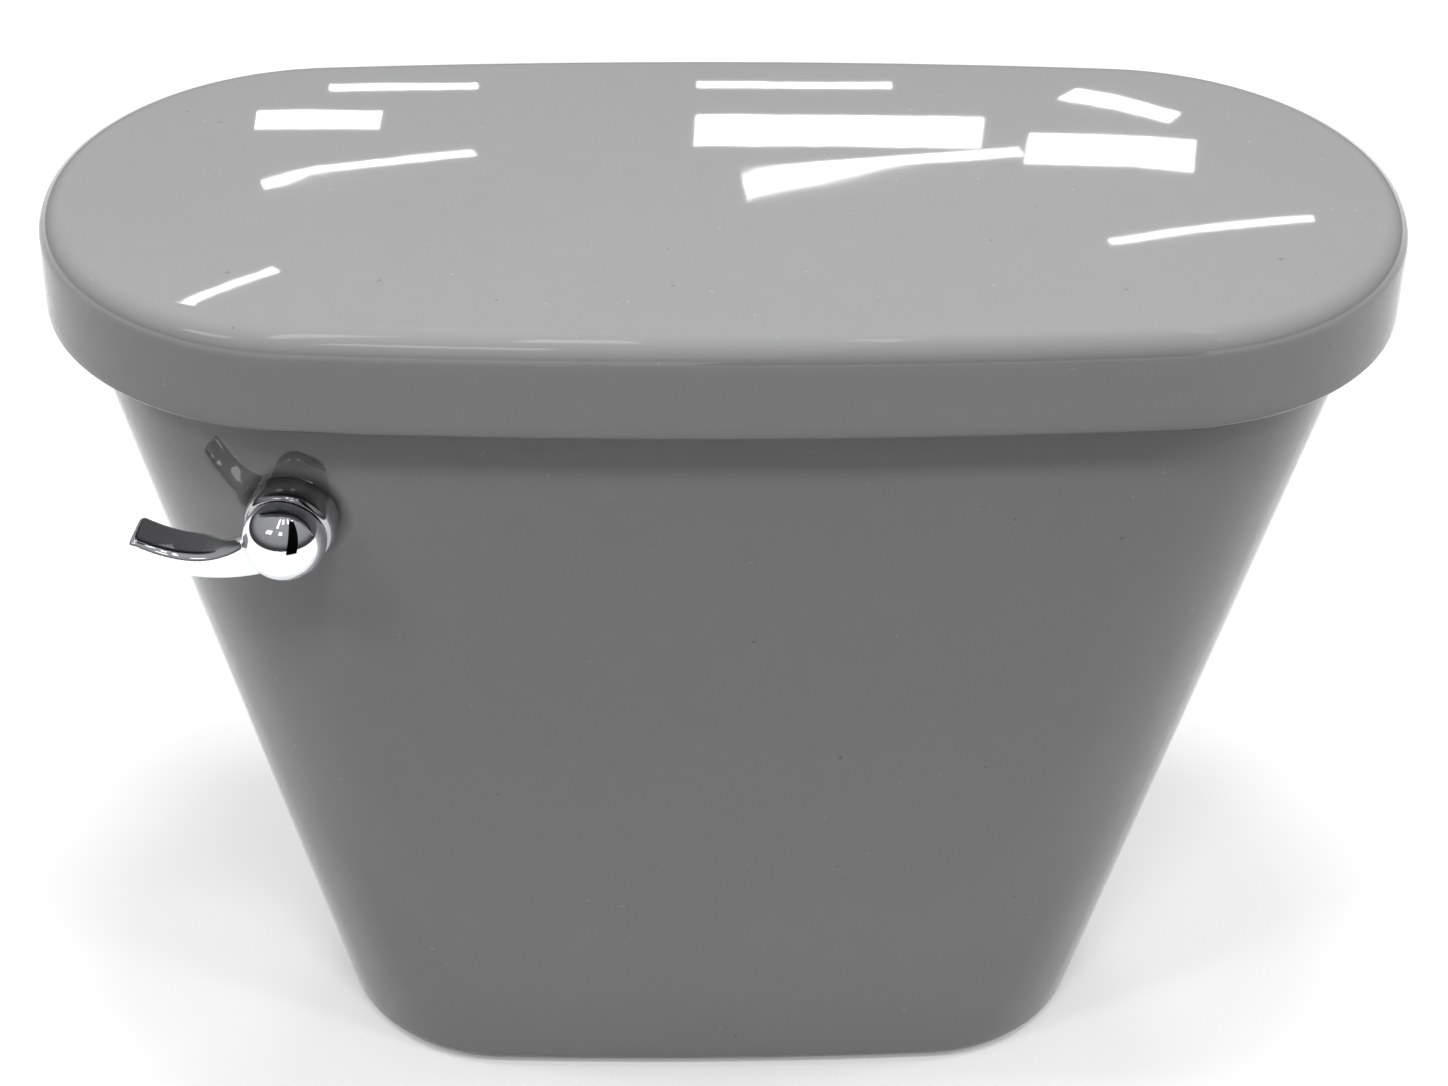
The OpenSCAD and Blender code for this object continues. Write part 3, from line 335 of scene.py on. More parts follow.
# %% Shared steps of every finish
def start_finish(name, **fixed):
    material = bpy.data.materials.new(name)
    material.use_nodes = True
    tree = material.node_tree
    shader = tree.nodes["Principled BSDF"]
    for socket, value in fixed.items():
        shader.inputs[socket.replace("_", " ")].default_value = value
    w = Wire(tree)
    place = w.node("ShaderNodeTexCoord", {}, {}, "Object")
    return material, shader, w, place


def noise(w, place, size, detail=2.0, rough=0.5):
    """Noise from 0 to 1 whose lumps are about size metres wide."""
    return w.node("ShaderNodeTexNoise", {"noise_type": "FBM"},
                  {"Vector": place, "Scale": 1 / size, "Detail": detail, "Roughness": rough})


def feed(w, shader, **links):
    for socket, wire in links.items():
        w.tree.links.new(wire.socket, shader.inputs[socket.replace("_", " ")])


def relief(w, height, depth, under=None):
    """A bump whose full range of height is depth metres deep."""
    sockets = {"Height": height, "Distance": depth, "Strength": 1.0}
    if under:
        sockets["Normal"] = under
    return w.node("ShaderNodeBump", {}, sockets)


# %% [markdown]
# ### China
# The tank and the lid are vitreous china under a grey glaze. Glaze flows before it sets, so its gloss is never quite
# flat: broad low waves bend every reflection, and a finer skin like orange peel lies over them. A few pinholes and
# pale specks, faint clouds in the grey, and the bare, matt biscuit of the foot's rim make it a fired piece.

# %% China finish
# in metres: the bare foot's height, the painted collar shade's radii, and the scratch with its hook, stroke and ends
BARE_FOOT, COLLAR_SHADE_RADII = (0.0008, 0.0022), (0.0168, 0.0225)
HOOK_X, HOOK_Z, HOOK_R = -0.18, 0.3088, 0.0042
STROKE_X, STROKE_Z, STROKE_LOW, STROKE_HIGH = -0.184, 0.308, 0.3086, 0.3195
STROKE_ACROSS, SCRATCH_HALF, SCRATCH_RIGHT = (0.884, 0.467), 0.00013, -0.175


def stain(w, share, under, colour):
    """A colour laid over another by a share."""
    return w.node("ShaderNodeMix", {"data_type": "RGBA"}, {0: share, 6: under, 7: (*colour, 1)}, 2)


def china_finish():
    material, shader, w, place = start_finish("grey_glaze", IOR=1.52)
    clouds = noise(w, place, 0.16, 3.0)
    fine = noise(w, place, 0.012, 2.0)
    specks = noise(w, place, 0.0026, 0.0).between(0.86, 0.89)
    pinholes = 1 - noise(w, place, 0.0031, 0.0).between(0.09, 0.115)
    x, y, z = parts(w, place)
    bare = 1 - z.between(*BARE_FOOT)
    # painted shade: a dark ring on the wall round the lever's collar, where the collar's shadow falls
    offset = w.node("ShaderNodeVectorMath", {"operation": "SUBTRACT"}, {0: place, 1: LEVER["pos_m"]})
    moment = w.node("ShaderNodeVectorMath", {"operation": "CROSS_PRODUCT"}, {0: offset, 1: LEVER["axis"]})
    from_axis = w.node("ShaderNodeVectorMath", {"operation": "LENGTH"}, {0: moment}, "Value")
    collar_shade = (1 - from_axis.between(*COLLAR_SHADE_RADII)) * (y < -0.05)
    # a hairline scratch left of the lever: a slanting stroke that ends in a small hook
    bend = ((x - HOOK_X) ** 2.0 + (z - HOOK_Z) ** 2.0) ** 0.5
    hook = (abs(bend - HOOK_R) < SCRATCH_HALF) * (z < STROKE_LOW)
    aside = abs((x - STROKE_X) * STROKE_ACROSS[0] + (z - STROKE_Z) * STROKE_ACROSS[1])
    stroke = (aside < SCRATCH_HALF) * (z > STROKE_LOW) * (z < STROKE_HIGH)
    scratch = hook.most(stroke) * (y < -0.06) * (x < SCRATCH_RIGHT)
    grey = tint(w, clouds * 0.7 + fine * 0.3, (0.352, 0.353, 0.356), (0.392, 0.393, 0.395))
    grey = stain(w, specks * 0.35, grey, (0.6, 0.6, 0.59))
    grey = stain(w, pinholes * 0.5, grey, (0.16, 0.16, 0.16))
    # the painted shade round the collar
    grey = stain(w, collar_shade * 0.8, grey, (0.07, 0.07, 0.07))
    grey = stain(w, scratch * 0.5, grey, (0.62, 0.62, 0.62))
    grey = stain(w, bare, grey, (0.56, 0.54, 0.5))
    feed(w, shader, Base_Color=grey, Roughness=0.016 + 0.02 * clouds + 0.6 * bare + 0.2 * pinholes)
    waves = relief(w, noise(w, place, 0.07, 1.0), 0.00007)
    peel = relief(w, noise(w, place, 0.011, 1.0), 0.000004, waves)
    feed(w, shader, Normal=peel)
    return material


# %% [markdown]
# ### Metals
# The lever is chromed, so it is almost a mirror with faint wiping marks. Its collar is chromed too, but rougher, and
# its colour is painted darker as painted shade. The trip arm, nuts and bolts are turned brass, duller in patches. The
# chain, rod, pin and washers are plain stainless wire and sheet.

# %% Metal finishes
def chrome_finish(name, low, high, rough):
    material, shader, w, place = start_finish(name, Metallic=1.0)
    smears = noise(w, place, 0.014, 4.0, 0.6)
    grain = noise(w, place, 0.0011, 2.0)
    feed(w, shader, Base_Color=tint(w, smears, low, high),
         Roughness=rough + 0.05 * smears.between(0.45, 0.7) + 0.012 * grain)
    feed(w, shader, Normal=relief(w, noise(w, place, 0.02, 1.0), 0.00005))
    return material


def brass_finish():
    material, shader, w, place = start_finish("turned_brass", Metallic=1.0)
    dull = noise(w, place, 0.009, 4.0, 0.6)
    grain = noise(w, place, 0.0006, 2.0)
    feed(w, shader, Base_Color=tint(w, dull, (0.47, 0.33, 0.14), (0.74, 0.57, 0.27)),
         Roughness=0.24 + 0.22 * dull + 0.06 * grain)
    feed(w, shader, Normal=relief(w, grain, 0.00004))
    return material


def steel_finish():
    material, shader, w, place = start_finish("plain_stainless", Metallic=1.0)
    stretched = w.node("ShaderNodeMapping", {}, {"Vector": place, "Scale": (1.0, 1.0, 0.12)})
    brush = noise(w, stretched, 0.0007, 3.0)
    patch = noise(w, place, 0.012, 3.0)
    feed(w, shader, Base_Color=tint(w, patch, (0.50, 0.51, 0.53), (0.66, 0.67, 0.69)),
         Roughness=0.2 + 0.14 * brush + 0.06 * patch)
    feed(w, shader, Normal=relief(w, brush, 0.00002))
    return material


# %% [markdown]
# ### Rubber and plastic
# Washers, gasket and flapper are moulded rubber: matt, a little dusty, with a fine sandy skin. The valves are
# moulded plastic, smoother, with a satin skin and the faint clouds of its flow. One maker serves each family.

# %% Rubber and plastic finishes
def rubber_finish(name, dark, pale):
    material, shader, w, place = start_finish(name)
    dust = noise(w, place, 0.018, 4.0, 0.65)
    skin = noise(w, place, 0.0008, 3.0)
    feed(w, shader, Base_Color=tint(w, dust, dark, pale), Roughness=0.56 + 0.2 * dust + 0.08 * skin)
    feed(w, shader, Normal=relief(w, skin, 0.00009))
    return material


def plastic_finish(name, dark, pale, gloss):
    material, shader, w, place = start_finish(name)
    flow = noise(w, place, 0.03, 3.0)
    skin = noise(w, place, 0.0006, 2.0)
    feed(w, shader, Base_Color=tint(w, flow, dark, pale), Roughness=gloss + 0.1 * flow + 0.05 * skin)
    feed(w, shader, Normal=relief(w, skin, 0.00003))
    return material


def vinyl_finish():
    material, shader, w, place = start_finish("milky_vinyl", Transmission_Weight=0.35, IOR=1.5)
    haze = noise(w, place, 0.02, 3.0)
    feed(w, shader, Base_Color=tint(w, haze, (0.66, 0.70, 0.66), (0.80, 0.82, 0.78)), Roughness=0.22 + 0.14 * haze)
    feed(w, shader, Normal=relief(w, noise(w, place, 0.004, 1.0), 0.00006))
    return material


FINISH = {
    "china": china_finish(),
    "chrome": chrome_finish("chrome", (0.80, 0.81, 0.83), (0.88, 0.89, 0.90), 0.035),
    # the collar's chrome: rougher, and its colour painted darker as painted shade
    "dull_chrome": chrome_finish("dull_chrome", (0.36, 0.36, 0.37), (0.56, 0.56, 0.57), 0.11),
    "brass": brass_finish(),
    "steel": steel_finish(),
    "black_rubber": rubber_finish("black_rubber", (0.018, 0.018, 0.019), (0.05, 0.05, 0.052)),
    "red_rubber": rubber_finish("red_rubber", (0.33, 0.055, 0.035), (0.47, 0.11, 0.075)),
    "white_plastic": plastic_finish("white_plastic", (0.70, 0.70, 0.66), (0.80, 0.80, 0.77), 0.26),
    "grey_plastic": plastic_finish("grey_plastic", (0.25, 0.27, 0.29), (0.33, 0.35, 0.37), 0.32),
    "black_plastic": plastic_finish("black_plastic", (0.026, 0.026, 0.029), (0.05, 0.05, 0.055), 0.3),
    "clear_plastic": vinyl_finish(),
}
print("finishes:", ", ".join(FINISH))

# %% [markdown]
# ## The china rule
# Seen from above, the lid, the rim and the foot are one family of outlines: two long edges, each a shallow arc, and
# two ends, each a pair of corner arcs that run smoothly into the long edges. A point of such an outline is known from
# the direction it faces, so moving in by some distance is only a shorter radius. A Geometry Nodes tree follows this
# rule: it takes a profile whose points give how far in, which share of foot and rim, and how high, and turns each
# into a ring. Rings that are moved in past the corner radius close on a line, so the skin has no open end.

# %% Geometry Nodes tree of the china rule
# how far past the corner radius a ring closes, how close points that meet are, both in metres, and how much closer
# the points stand round the ends than along the edges
PINCH, MEET, CROWDING = 0.01, 0.000004, 0.42


def new_tree(name, inputs):
    tree = bpy.data.node_groups.new(name, "GeometryNodeTree")
    for title, kind in inputs:
        tree.interface.new_socket(title, in_out="INPUT", socket_type="NodeSocket" + kind)
    tree.interface.new_socket("Result", in_out="OUTPUT", socket_type="NodeSocketGeometry")
    entry = tree.nodes.new("NodeGroupInput")
    return tree, Wire(tree), {title: Wire(tree, entry.outputs[title]) for title, kind in inputs}


def end_tree(w, geometry, material):
    whole = w.node("GeometryNodeRealizeInstances", {}, {0: geometry})
    smooth = w.node("GeometryNodeSetShadeSmooth", {}, {"Geometry": whole})
    finished = w.node("GeometryNodeSetMaterial", {}, {"Geometry": smooth, "Material": material})
    w.tree.links.new(finished.socket, w.tree.nodes.new("NodeGroupOutput").inputs[0])


def plan_point(w, plan, across, along, moved_in):
    """x and y of an outline's point that faces (across, along), moved in."""
    half_w, half_d, flat, bow = plan
    corner_r = (bow + half_w - (flat - half_d + bow) ** 2 / (bow - half_w)) / 2
    corner_x = half_w - corner_r
    on_edge = abs(across) < corner_x / (bow - corner_r)
    left_or_right = w.math("SIGN", across)
    front_or_back = w.math("SIGN", along)
    short_r = (corner_r - moved_in).most(0.0)
    long_r = bow - moved_in.least(corner_r)
    end_x = left_or_right * corner_x + short_r * across
    end_y = front_or_back * flat + short_r * along
    edge_x = long_r * across
    edge_y = front_or_back * (half_d - bow) + long_r * along
    pinch = (1 - (moved_in - corner_r) / PINCH).most(0.0).least(1.0)
    return end_x + (edge_x - end_x) * on_edge, (end_y + (edge_y - end_y) * on_edge) * pinch


def china_rule():
    tree, w, size = new_tree("china_rule", [
        ("Profile", "Object"), ("Finish", "Material"), ("Around", "Int"), ("Forward", "Float"),
        ("Foot half width", "Float"), ("Foot half depth", "Float"), ("Foot flat", "Float"), ("Foot bow", "Float"),
        ("Rim half width", "Float"), ("Rim half depth", "Float"), ("Rim flat", "Float"), ("Rim bow", "Float")])
    profile = w.node("GeometryNodeObjectInfo", {}, {"Object": size["Profile"]}, "Geometry")
    stations = w.node("GeometryNodeAttributeDomainSize", {"component": "CURVE"}, {"Geometry": profile}, "Point Count")
    grid = w.node("GeometryNodeMeshGrid", {}, {"Size X": 1.0, "Size Y": 1.0, "Vertices X": size["Around"] + 1,
                                               "Vertices Y": stations}, "Mesh")
    spot = w.node("GeometryNodeInputPosition")
    u, v = parts(w, spot)[:2]
    row = w.math("ROUND", (v + 0.5) * (stations - 1))
    station = w.node("GeometryNodeSampleIndex", {"data_type": "FLOAT_VECTOR", "domain": "POINT"},
                     {"Geometry": profile, "Value": spot, "Index": row})
    moved_in, share, height = parts(w, station)
    even = (u + 0.5) * (2 * pi) + w.math("DIVIDE", pi, size["Around"])
    facing = even + w.math("SINE", even * 2) * CROWDING
    across = w.math("COSINE", facing)
    along = w.math("SINE", facing)
    plans = [[size[f"{name} {part}"] for part in ("half width", "half depth", "flat", "bow")]
             for name in ("Foot", "Rim")]
    foot_x, foot_y = plan_point(w, plans[0], across, along, moved_in)
    rim_x, rim_y = plan_point(w, plans[1], across, along, moved_in)
    x = foot_x + (rim_x - foot_x) * share
    y = foot_y + (rim_y - foot_y) * share - size["Forward"] * share
    where = w.node("ShaderNodeCombineXYZ", {}, {"X": x, "Y": y, "Z": height})
    skin = w.node("GeometryNodeSetPosition", {}, {"Geometry": grid, "Position": where})
    closed = w.node("GeometryNodeMergeByDistance", {}, {"Geometry": skin, "Distance": MEET})
    end_tree(w, closed, size["Finish"])
    return tree


CHINA_RULE = china_rule()
print("china rule:", len(CHINA_RULE.nodes), "nodes")

# %% [markdown]
# ### From a tree to a plain mesh
# The export keeps meshes, not modifiers, so each tree is run once on an object and the result becomes its mesh.

# %% Running a tree
def new_piece(name, mesh=None):
    piece = bpy.data.objects.new(name, mesh or bpy.data.meshes.new(name))
    bpy.context.scene.collection.objects.link(piece)
    return piece


def settle(piece):
    """Turns a piece's modifiers into its mesh."""
    ready = piece.evaluated_get(bpy.context.evaluated_depsgraph_get())
    mesh = bpy.data.meshes.new_from_object(ready)
    mesh.name = piece.name
    piece.modifiers.clear()
    piece.data = mesh
    return piece


def add_tree(piece, tree, **sizes):
    """Gives a piece a tree's modifier; sizes are named as the tree's inputs, with _ for a space."""
    modifier = piece.modifiers.new(tree.name, "NODES")
    modifier.node_group = tree
    sockets = {s.name: s.identifier for s in tree.interface.items_tree if s.in_out == "INPUT"}
    for title, value in sizes.items():
        modifier[sockets[title.replace("_", " ")]] = value


def grow(name, tree, **sizes):
    """A piece made by a tree."""
    piece = new_piece(name)
    add_tree(piece, tree, **sizes)
    return settle(piece)


def crease(piece, degrees):
    piece.data.polygons.foreach_set("use_smooth", [True] * len(piece.data.polygons))
    piece.data.set_sharp_from_angle(angle=radians(degrees))
    return piece


def guide(name, points):
    """A poly line for a tree to follow, taken out again afterwards."""
    curve = bpy.data.curves.new(name, "CURVE")
    curve.dimensions = "3D"
    line = curve.splines.new("POLY")
    line.points.add(len(points) - 1)
    for spot, p in zip(line.points, points):
        spot.co = (*p, 1)
    obj = bpy.data.objects.new(name, curve)
    bpy.context.scene.collection.objects.link(obj)
    return obj


def arc(i, z, radius, start, stop, steps):
    """Points of an arc in a profile, angles in degrees from +inset towards +height."""
    return [(i + radius * cos(radians(start + (stop - start) * k / steps)),
             z + radius * sin(radians(start + (stop - start) * k / steps))) for k in range(steps + 1)]


def steps_between(a, b, count):
    return [(a[0] + (b[0] - a[0]) * k / count, a[1] + (b[1] - a[1]) * k / count) for k in range(1, count)]


# %% [markdown]
# ### The tank
# The tank is one casting. Its profile starts under the floor, runs out and down the underside recess, round the foot,
# up the tapered wall, over the rim and down the inside to the floor. The share of foot and rim grows with height, so
# the wall is straight; the recess keeps the foot's share because it is cut straight up.

# %% Tank sizes and profile
RIM_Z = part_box("tank")[1].z / MM
BAND_H, EASE = 29, 9
SHOULDER_Z = RIM_Z - BAND_H
RECESS_H, RECESS_R, RECESS_DRAFT, FLOOR_Z = 36, 6, 2.6, 47
WALL, FOOT_RIM, FOOT_LIP, FOOT_EDGE, RIM_EDGE, COVE = 10, 14, 2, 8, 3, 10
# insets of the flat floor's rings; the last lies past the corner radius
FLAT_FROM, FLAT_TO, FLAT_CLOSED = 40, 60, 120
FOOT = {"half_width": 155, "half_depth": 80, "flat": 10, "bow": 2000}
LID = {"half_width": 255, "half_depth": 112, "flat": 1, "bow": 2222}
RIM_INSET, FORWARD = 13, 15


def wall_share(z):
    """The taper's share of the rim's outline, eased where the wall turns upright."""
    t = z / SHOULDER_Z
    if z < SHOULDER_Z - EASE:
        return t
    if z > SHOULDER_Z + EASE:
        return 1.0
    s = (z - SHOULDER_Z + EASE) / (2 * EASE)
    return (SHOULDER_Z - EASE) / SHOULDER_Z + 2 * EASE / SHOULDER_Z * (s - s * s / 2)


def tank_profile():
    under = [(FLAT_CLOSED, RECESS_H), (FLAT_FROM, RECESS_H)]
    under += arc(FOOT_RIM + RECESS_DRAFT + RECESS_R, RECESS_H - RECESS_R, RECESS_R, 90, 180, 5)
    under += arc(FOOT_RIM - FOOT_LIP, FOOT_LIP, FOOT_LIP, 0, -90, 4)
    outside = arc(FOOT_EDGE, FOOT_EDGE, FOOT_EDGE, 270, 180, 12)
    outside += steps_between((0, FOOT_EDGE), (0, SHOULDER_Z - EASE), 34)
    outside += [(0, SHOULDER_Z - EASE + 2 * k) for k in range(EASE + 1)]
    outside += arc(RIM_EDGE, RIM_Z - RIM_EDGE, RIM_EDGE, 180, 90, 6)
    inside = arc(WALL - RIM_EDGE, RIM_Z - RIM_EDGE, RIM_EDGE, 90, 0, 6)
    inside += [(WALL, SHOULDER_Z + EASE - 2 * k) for k in range(EASE + 1)]
    inside += steps_between((WALL, SHOULDER_Z - EASE), (WALL, FLOOR_Z + COVE), 24)
    inside += arc(WALL + COVE, FLOOR_Z + COVE, COVE, 180, 270, 8)
    inside += [(inset, FLOOR_Z) for inset in (FLAT_FROM, FLAT_TO, FLAT_CLOSED)]
    rows = [(i, 0.0, z) for i, z in under]
    rows += [(i, wall_share(z), z) for i, z in outside + inside]
    return [(i * MM, t, z * MM) for i, t, z in rows]


def china_sizes(foot, rim):
    sizes = {f"Foot_{part}": value * MM for part, value in foot.items()}
    sizes.update({f"Rim_{part}": value * MM for part, value in rim.items()})
    return sizes


RIM = dict(LID, half_width=LID["half_width"] - RIM_INSET, half_depth=LID["half_depth"] - RIM_INSET,
           bow=LID["bow"] - RIM_INSET)
tank_line = guide("tank_line", tank_profile())
tank = grow("tank_china", CHINA_RULE, Profile=tank_line, Finish=FINISH["china"], Around=300,
            Forward=FORWARD * MM, **china_sizes(FOOT, RIM))
bpy.data.objects.remove(tank_line)
print("tank skin:", len(tank.data.polygons), "faces")

# %% [markdown]
# ### Holes in the tank
# The china has a wide hole for the outlet, a smaller one for the inlet, one for each bolt, and a square one with a
# flat seat for the lever. They are cut from the finished skin with Boolean modifiers, as a drill would cut them.

# %% Cutting the holes
lever_out = Vector(LEVER["axis"]).normalized()
lever_right = Vector((0, 0, 1)).cross(lever_out).normalized()
lever_up = lever_out.cross(lever_right)
SEAT_CUT, LEVER_WALL, NECK_W, NECK_PLAY = 0.6, 8.6, 16, 0.4
SEAT_R, SEAT_H, BACK_SEAT_R, BACK_SEAT_H = 17.2, 16, 18, 22
OUTLET_HOLE_R, INLET_HOLE_R, BOLT_HOLE_R, HOLE_LOW, HOLE_HIGH = 33, 12.6, 5.5, 30, 52
lever_spot = Vector(LEVER["pos_m"]) - lever_out * SEAT_CUT * MM
AT_LEVER = Matrix.Translation(lever_spot) @ Matrix((lever_right, lever_up, lever_out)).transposed().to_4x4()


def prism(bm, outline, low, high, place=Matrix.Identity(4)):
    """A closed prism over an outline in mm, between two heights."""
    rows = [[bm.verts.new(place @ Vector((x * MM, y * MM, z * MM))) for x, y in outline] for z in (low, high)]
    n = len(outline)
    bm.faces.new(rows[0][::-1])
    bm.faces.new(rows[1])
    for k in range(n):
        bm.faces.new((rows[0][k], rows[0][(k + 1) % n], rows[1][(k + 1) % n], rows[1][k]))


def circle(x, y, r, n=64):
    return [(x + r * cos(2 * pi * k / n), y + r * sin(2 * pi * k / n)) for k in range(n)]


def cut(piece, *shapes):
    """Cuts prisms, each (outline, low, high, place), from a piece."""
    for shape in shapes:
        bm = bmesh.new()
        prism(bm, *shape)
        mesh = bpy.data.meshes.new("cutter")
        bm.to_mesh(mesh)
        bm.free()
        mesh.materials.append(piece.data.materials[0])
        cutter = new_piece("cutter", mesh)
        modifier = piece.modifiers.new("hole", "BOOLEAN")
        modifier.operation = "DIFFERENCE"
        modifier.solver = "EXACT"
        modifier.object = cutter
        settle(piece)
        bpy.data.objects.remove(cutter)
    return piece


inlet_low, inlet_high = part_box("fill_valve_washer")
INLET_X, INLET_Y = (inlet_low.x + inlet_high.x) / 2 / MM, (inlet_low.y + inlet_high.y) / 2 / MM
bolt_low, bolt_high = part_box("tank_bolt_right")
BOLT_X = (bolt_low.x + bolt_high.x) / 2 / MM
half = NECK_W / 2 + NECK_PLAY
cut(tank, (circle(0, 0, OUTLET_HOLE_R, 96), HOLE_LOW, HOLE_HIGH),
    (circle(INLET_X, INLET_Y, INLET_HOLE_R), HOLE_LOW, HOLE_HIGH),
    (circle(-BOLT_X, 0, BOLT_HOLE_R, 32), HOLE_LOW, HOLE_HIGH),
    (circle(BOLT_X, 0, BOLT_HOLE_R, 32), HOLE_LOW, HOLE_HIGH),
    (circle(0, 0, SEAT_R, 96), 0, SEAT_H, AT_LEVER),
    (circle(0, 0, BACK_SEAT_R, 64), -LEVER_WALL - BACK_SEAT_H, -LEVER_WALL, AT_LEVER),
    ([(-half, -half), (half, -half), (half, half), (-half, half)], -LEVER_WALL - 2, 2, AT_LEVER))
crease(tank, 35)
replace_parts(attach(tank, "tank"), "tank")
print("tank:", len(tank.data.polygons), "faces")

# %% [markdown]
# ### The lid
# The lid is a tray turned over the rim. Its top rises a little towards the middle, its edge is a full soft round, and
# the skirt's lower edge is eased. The same tree draws it, with one outline for every height.

# %% Lid
LID_T, LID_H = 13, 40
LID_TOP = RIM_Z + LID_T
LID_Z = LID_TOP - LID_H
SKIRT, LID_EDGE, LOW_EDGE, HOLLOW_R = 8.5, 10, 2, 5
CROWN, CROWN_STOP, CROWN_STEPS = 2, 8, 40
HOLLOW_FROM, HOLLOW_TO, LID_CLOSED = 24, 60, 125
# the corner radius that the outline rule gives for LID
CORNER_R = 105.74


def lid_profile():
    hollow = [(inset, RIM_Z) for inset in (LID_CLOSED, HOLLOW_TO, HOLLOW_FROM)]
    hollow += arc(SKIRT + HOLLOW_R, RIM_Z - HOLLOW_R, HOLLOW_R, 90, 180, 6)
    hollow += steps_between((SKIRT, RIM_Z - HOLLOW_R), (SKIRT, LID_Z + LOW_EDGE), 3)
    low = arc(SKIRT - LOW_EDGE, LID_Z + LOW_EDGE, LOW_EDGE, 0, -90, 4)
    low += arc(LOW_EDGE, LID_Z + LOW_EDGE, LOW_EDGE, 270, 180, 4)
    side = steps_between((0, LID_Z + LOW_EDGE), (0, LID_TOP - LID_EDGE), 8)
    # the edge's round stops short of level, where the crowned top's slope takes over
    span = CORNER_R - CROWN_STOP - LID_EDGE
    slope = atan2(2 * CROWN, span)
    edge = arc(LID_EDGE, LID_TOP - LID_EDGE, LID_EDGE, 180, 90 + slope * 180 / pi, 16)
    shares = [k / CROWN_STEPS for k in range(1, CROWN_STEPS + 1)]
    top = [(LID_EDGE + span * s, LID_TOP + CROWN * (1 - (1 - s) ** 2)) for s in shares]
    top += [(inset, LID_TOP + CROWN) for inset in (LID["half_depth"], LID_CLOSED)]
    return [(i * MM, 1.0, z * MM) for i, z in hollow + low + side + edge + top]


lid_line = guide("lid_line", lid_profile())
lid = grow("lid_china", CHINA_RULE, Profile=lid_line, Finish=FINISH["china"], Around=360,
           Forward=FORWARD * MM, **china_sizes(LID, LID))
bpy.data.objects.remove(lid_line)
crease(lid, 50)
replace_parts(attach(lid, "lid"), "lid")
print("lid:", len(lid.data.polygons), "faces")

# %% [markdown]
# ## Turned and swept pieces
# Many small pieces are turned on a lathe or drawn through a die. Two helpers build such meshes from points in
# millimetres: one turns a profile about an axis, the other closes a skin over a row of sections.

# %% Lathe and loft
def lathe(bm, profile, place=Matrix.Identity(4), around=96, loop=False):
    """Turns (radius, height) points about the Z axis of place; a loop is a profile that closes on itself."""
    rows = []
    for r, z in profile:
        if r < 1e-6:
            rows.append([bm.verts.new(place @ Vector((0, 0, z * MM)))] * around)
        else:
            turns = [2 * pi * k / around for k in range(around)]
            rows.append([bm.verts.new(place @ Vector((r * cos(a) * MM, r * sin(a) * MM, z * MM))) for a in turns])
    for low, high in zip(rows, rows[1:] + (rows[:1] if loop else [])):
        for k in range(around):
            corners = dict.fromkeys((low[k], low[k + 1 - around], high[k + 1 - around], high[k]))
            if len(corners) > 2:
                bm.faces.new(list(corners))


def loft(bm, sections, place=Matrix.Identity(4)):
    """Joins sections of (x, y, z) points and closes both ends."""
    rows = [[bm.verts.new(place @ (Vector(p) * MM)) for p in section] for section in sections]
    n = len(rows[0])
    for low, high in zip(rows, rows[1:]):
        for k in range(n):
            bm.faces.new((low[k], low[k + 1 - n], high[k + 1 - n], high[k]))
    bm.faces.new(rows[0][::-1])
    bm.faces.new(rows[-1])


def piece_from(bm, name, slot, others=()):
    """Makes a piece of a bmesh and joins other pieces into it."""
    for other in others:
        bm.from_mesh(other.data)
        bpy.data.objects.remove(other)
    bmesh.ops.recalc_face_normals(bm, faces=bm.faces[:])
    mesh = bpy.data.meshes.new(name)
    bm.to_mesh(mesh)
    bm.free()
    mesh.materials.append(FINISH[slot])
    return new_piece(name, mesh)


# %% [markdown]
# ### The lever's handle
# The handle is one chromed casting: a ball cut flat at the back, and a bar that leaves it low on the left, dips, and
# rises to a blunt tip. The bar's sections stand square to its middle line and are rounded rectangles. Ball and bar are
# made apart, then a voxel Remesh makes one skin of them and a Smooth leaves the small hollow fillet that a casting has
# where the two meet. The stem turns in the collar with a close fit, so it stays a true cylinder and is added last.

# %% Lever handle
COLLAR_R, COLLAR_FACE_R, COLLAR_SIDE, COLLAR_T = 17, 15, 5.4, 11.4
BALL_R, BALL_Z, BACK_Z = 15.4, COLLAR_T + 3.4, COLLAR_T + 0.4
PADDLE_L, PADDLE_D, PADDLE_T, PADDLE_FRONT = 58, 16, 11, BALL_Z + 8.4
PADDLE_DIP, PADDLE_RISE, PADDLE_LOW, PADDLE_ROOT, PADDLE_END_R = 12.4, 6.2, 0.6, 0.1, 2
# how square the bar's section is, its swelling at the ball, its thickness there and what it loses, and the stretch
# over which its depth leaves the ball's
SQUARENESS, PADDLE_FLARE, ROOT_THICK, THICK_LOST, ROOT_FROM, ROOT_SPAN = 0.45, 0.45, 1.08, 0.2, 0.22, 0.33
STEM_R, STEM_L, STEM_EDGE = 4.5, 36.1, 0.5


def rounded(v, power):
    return copysign(abs(v) ** power, v)


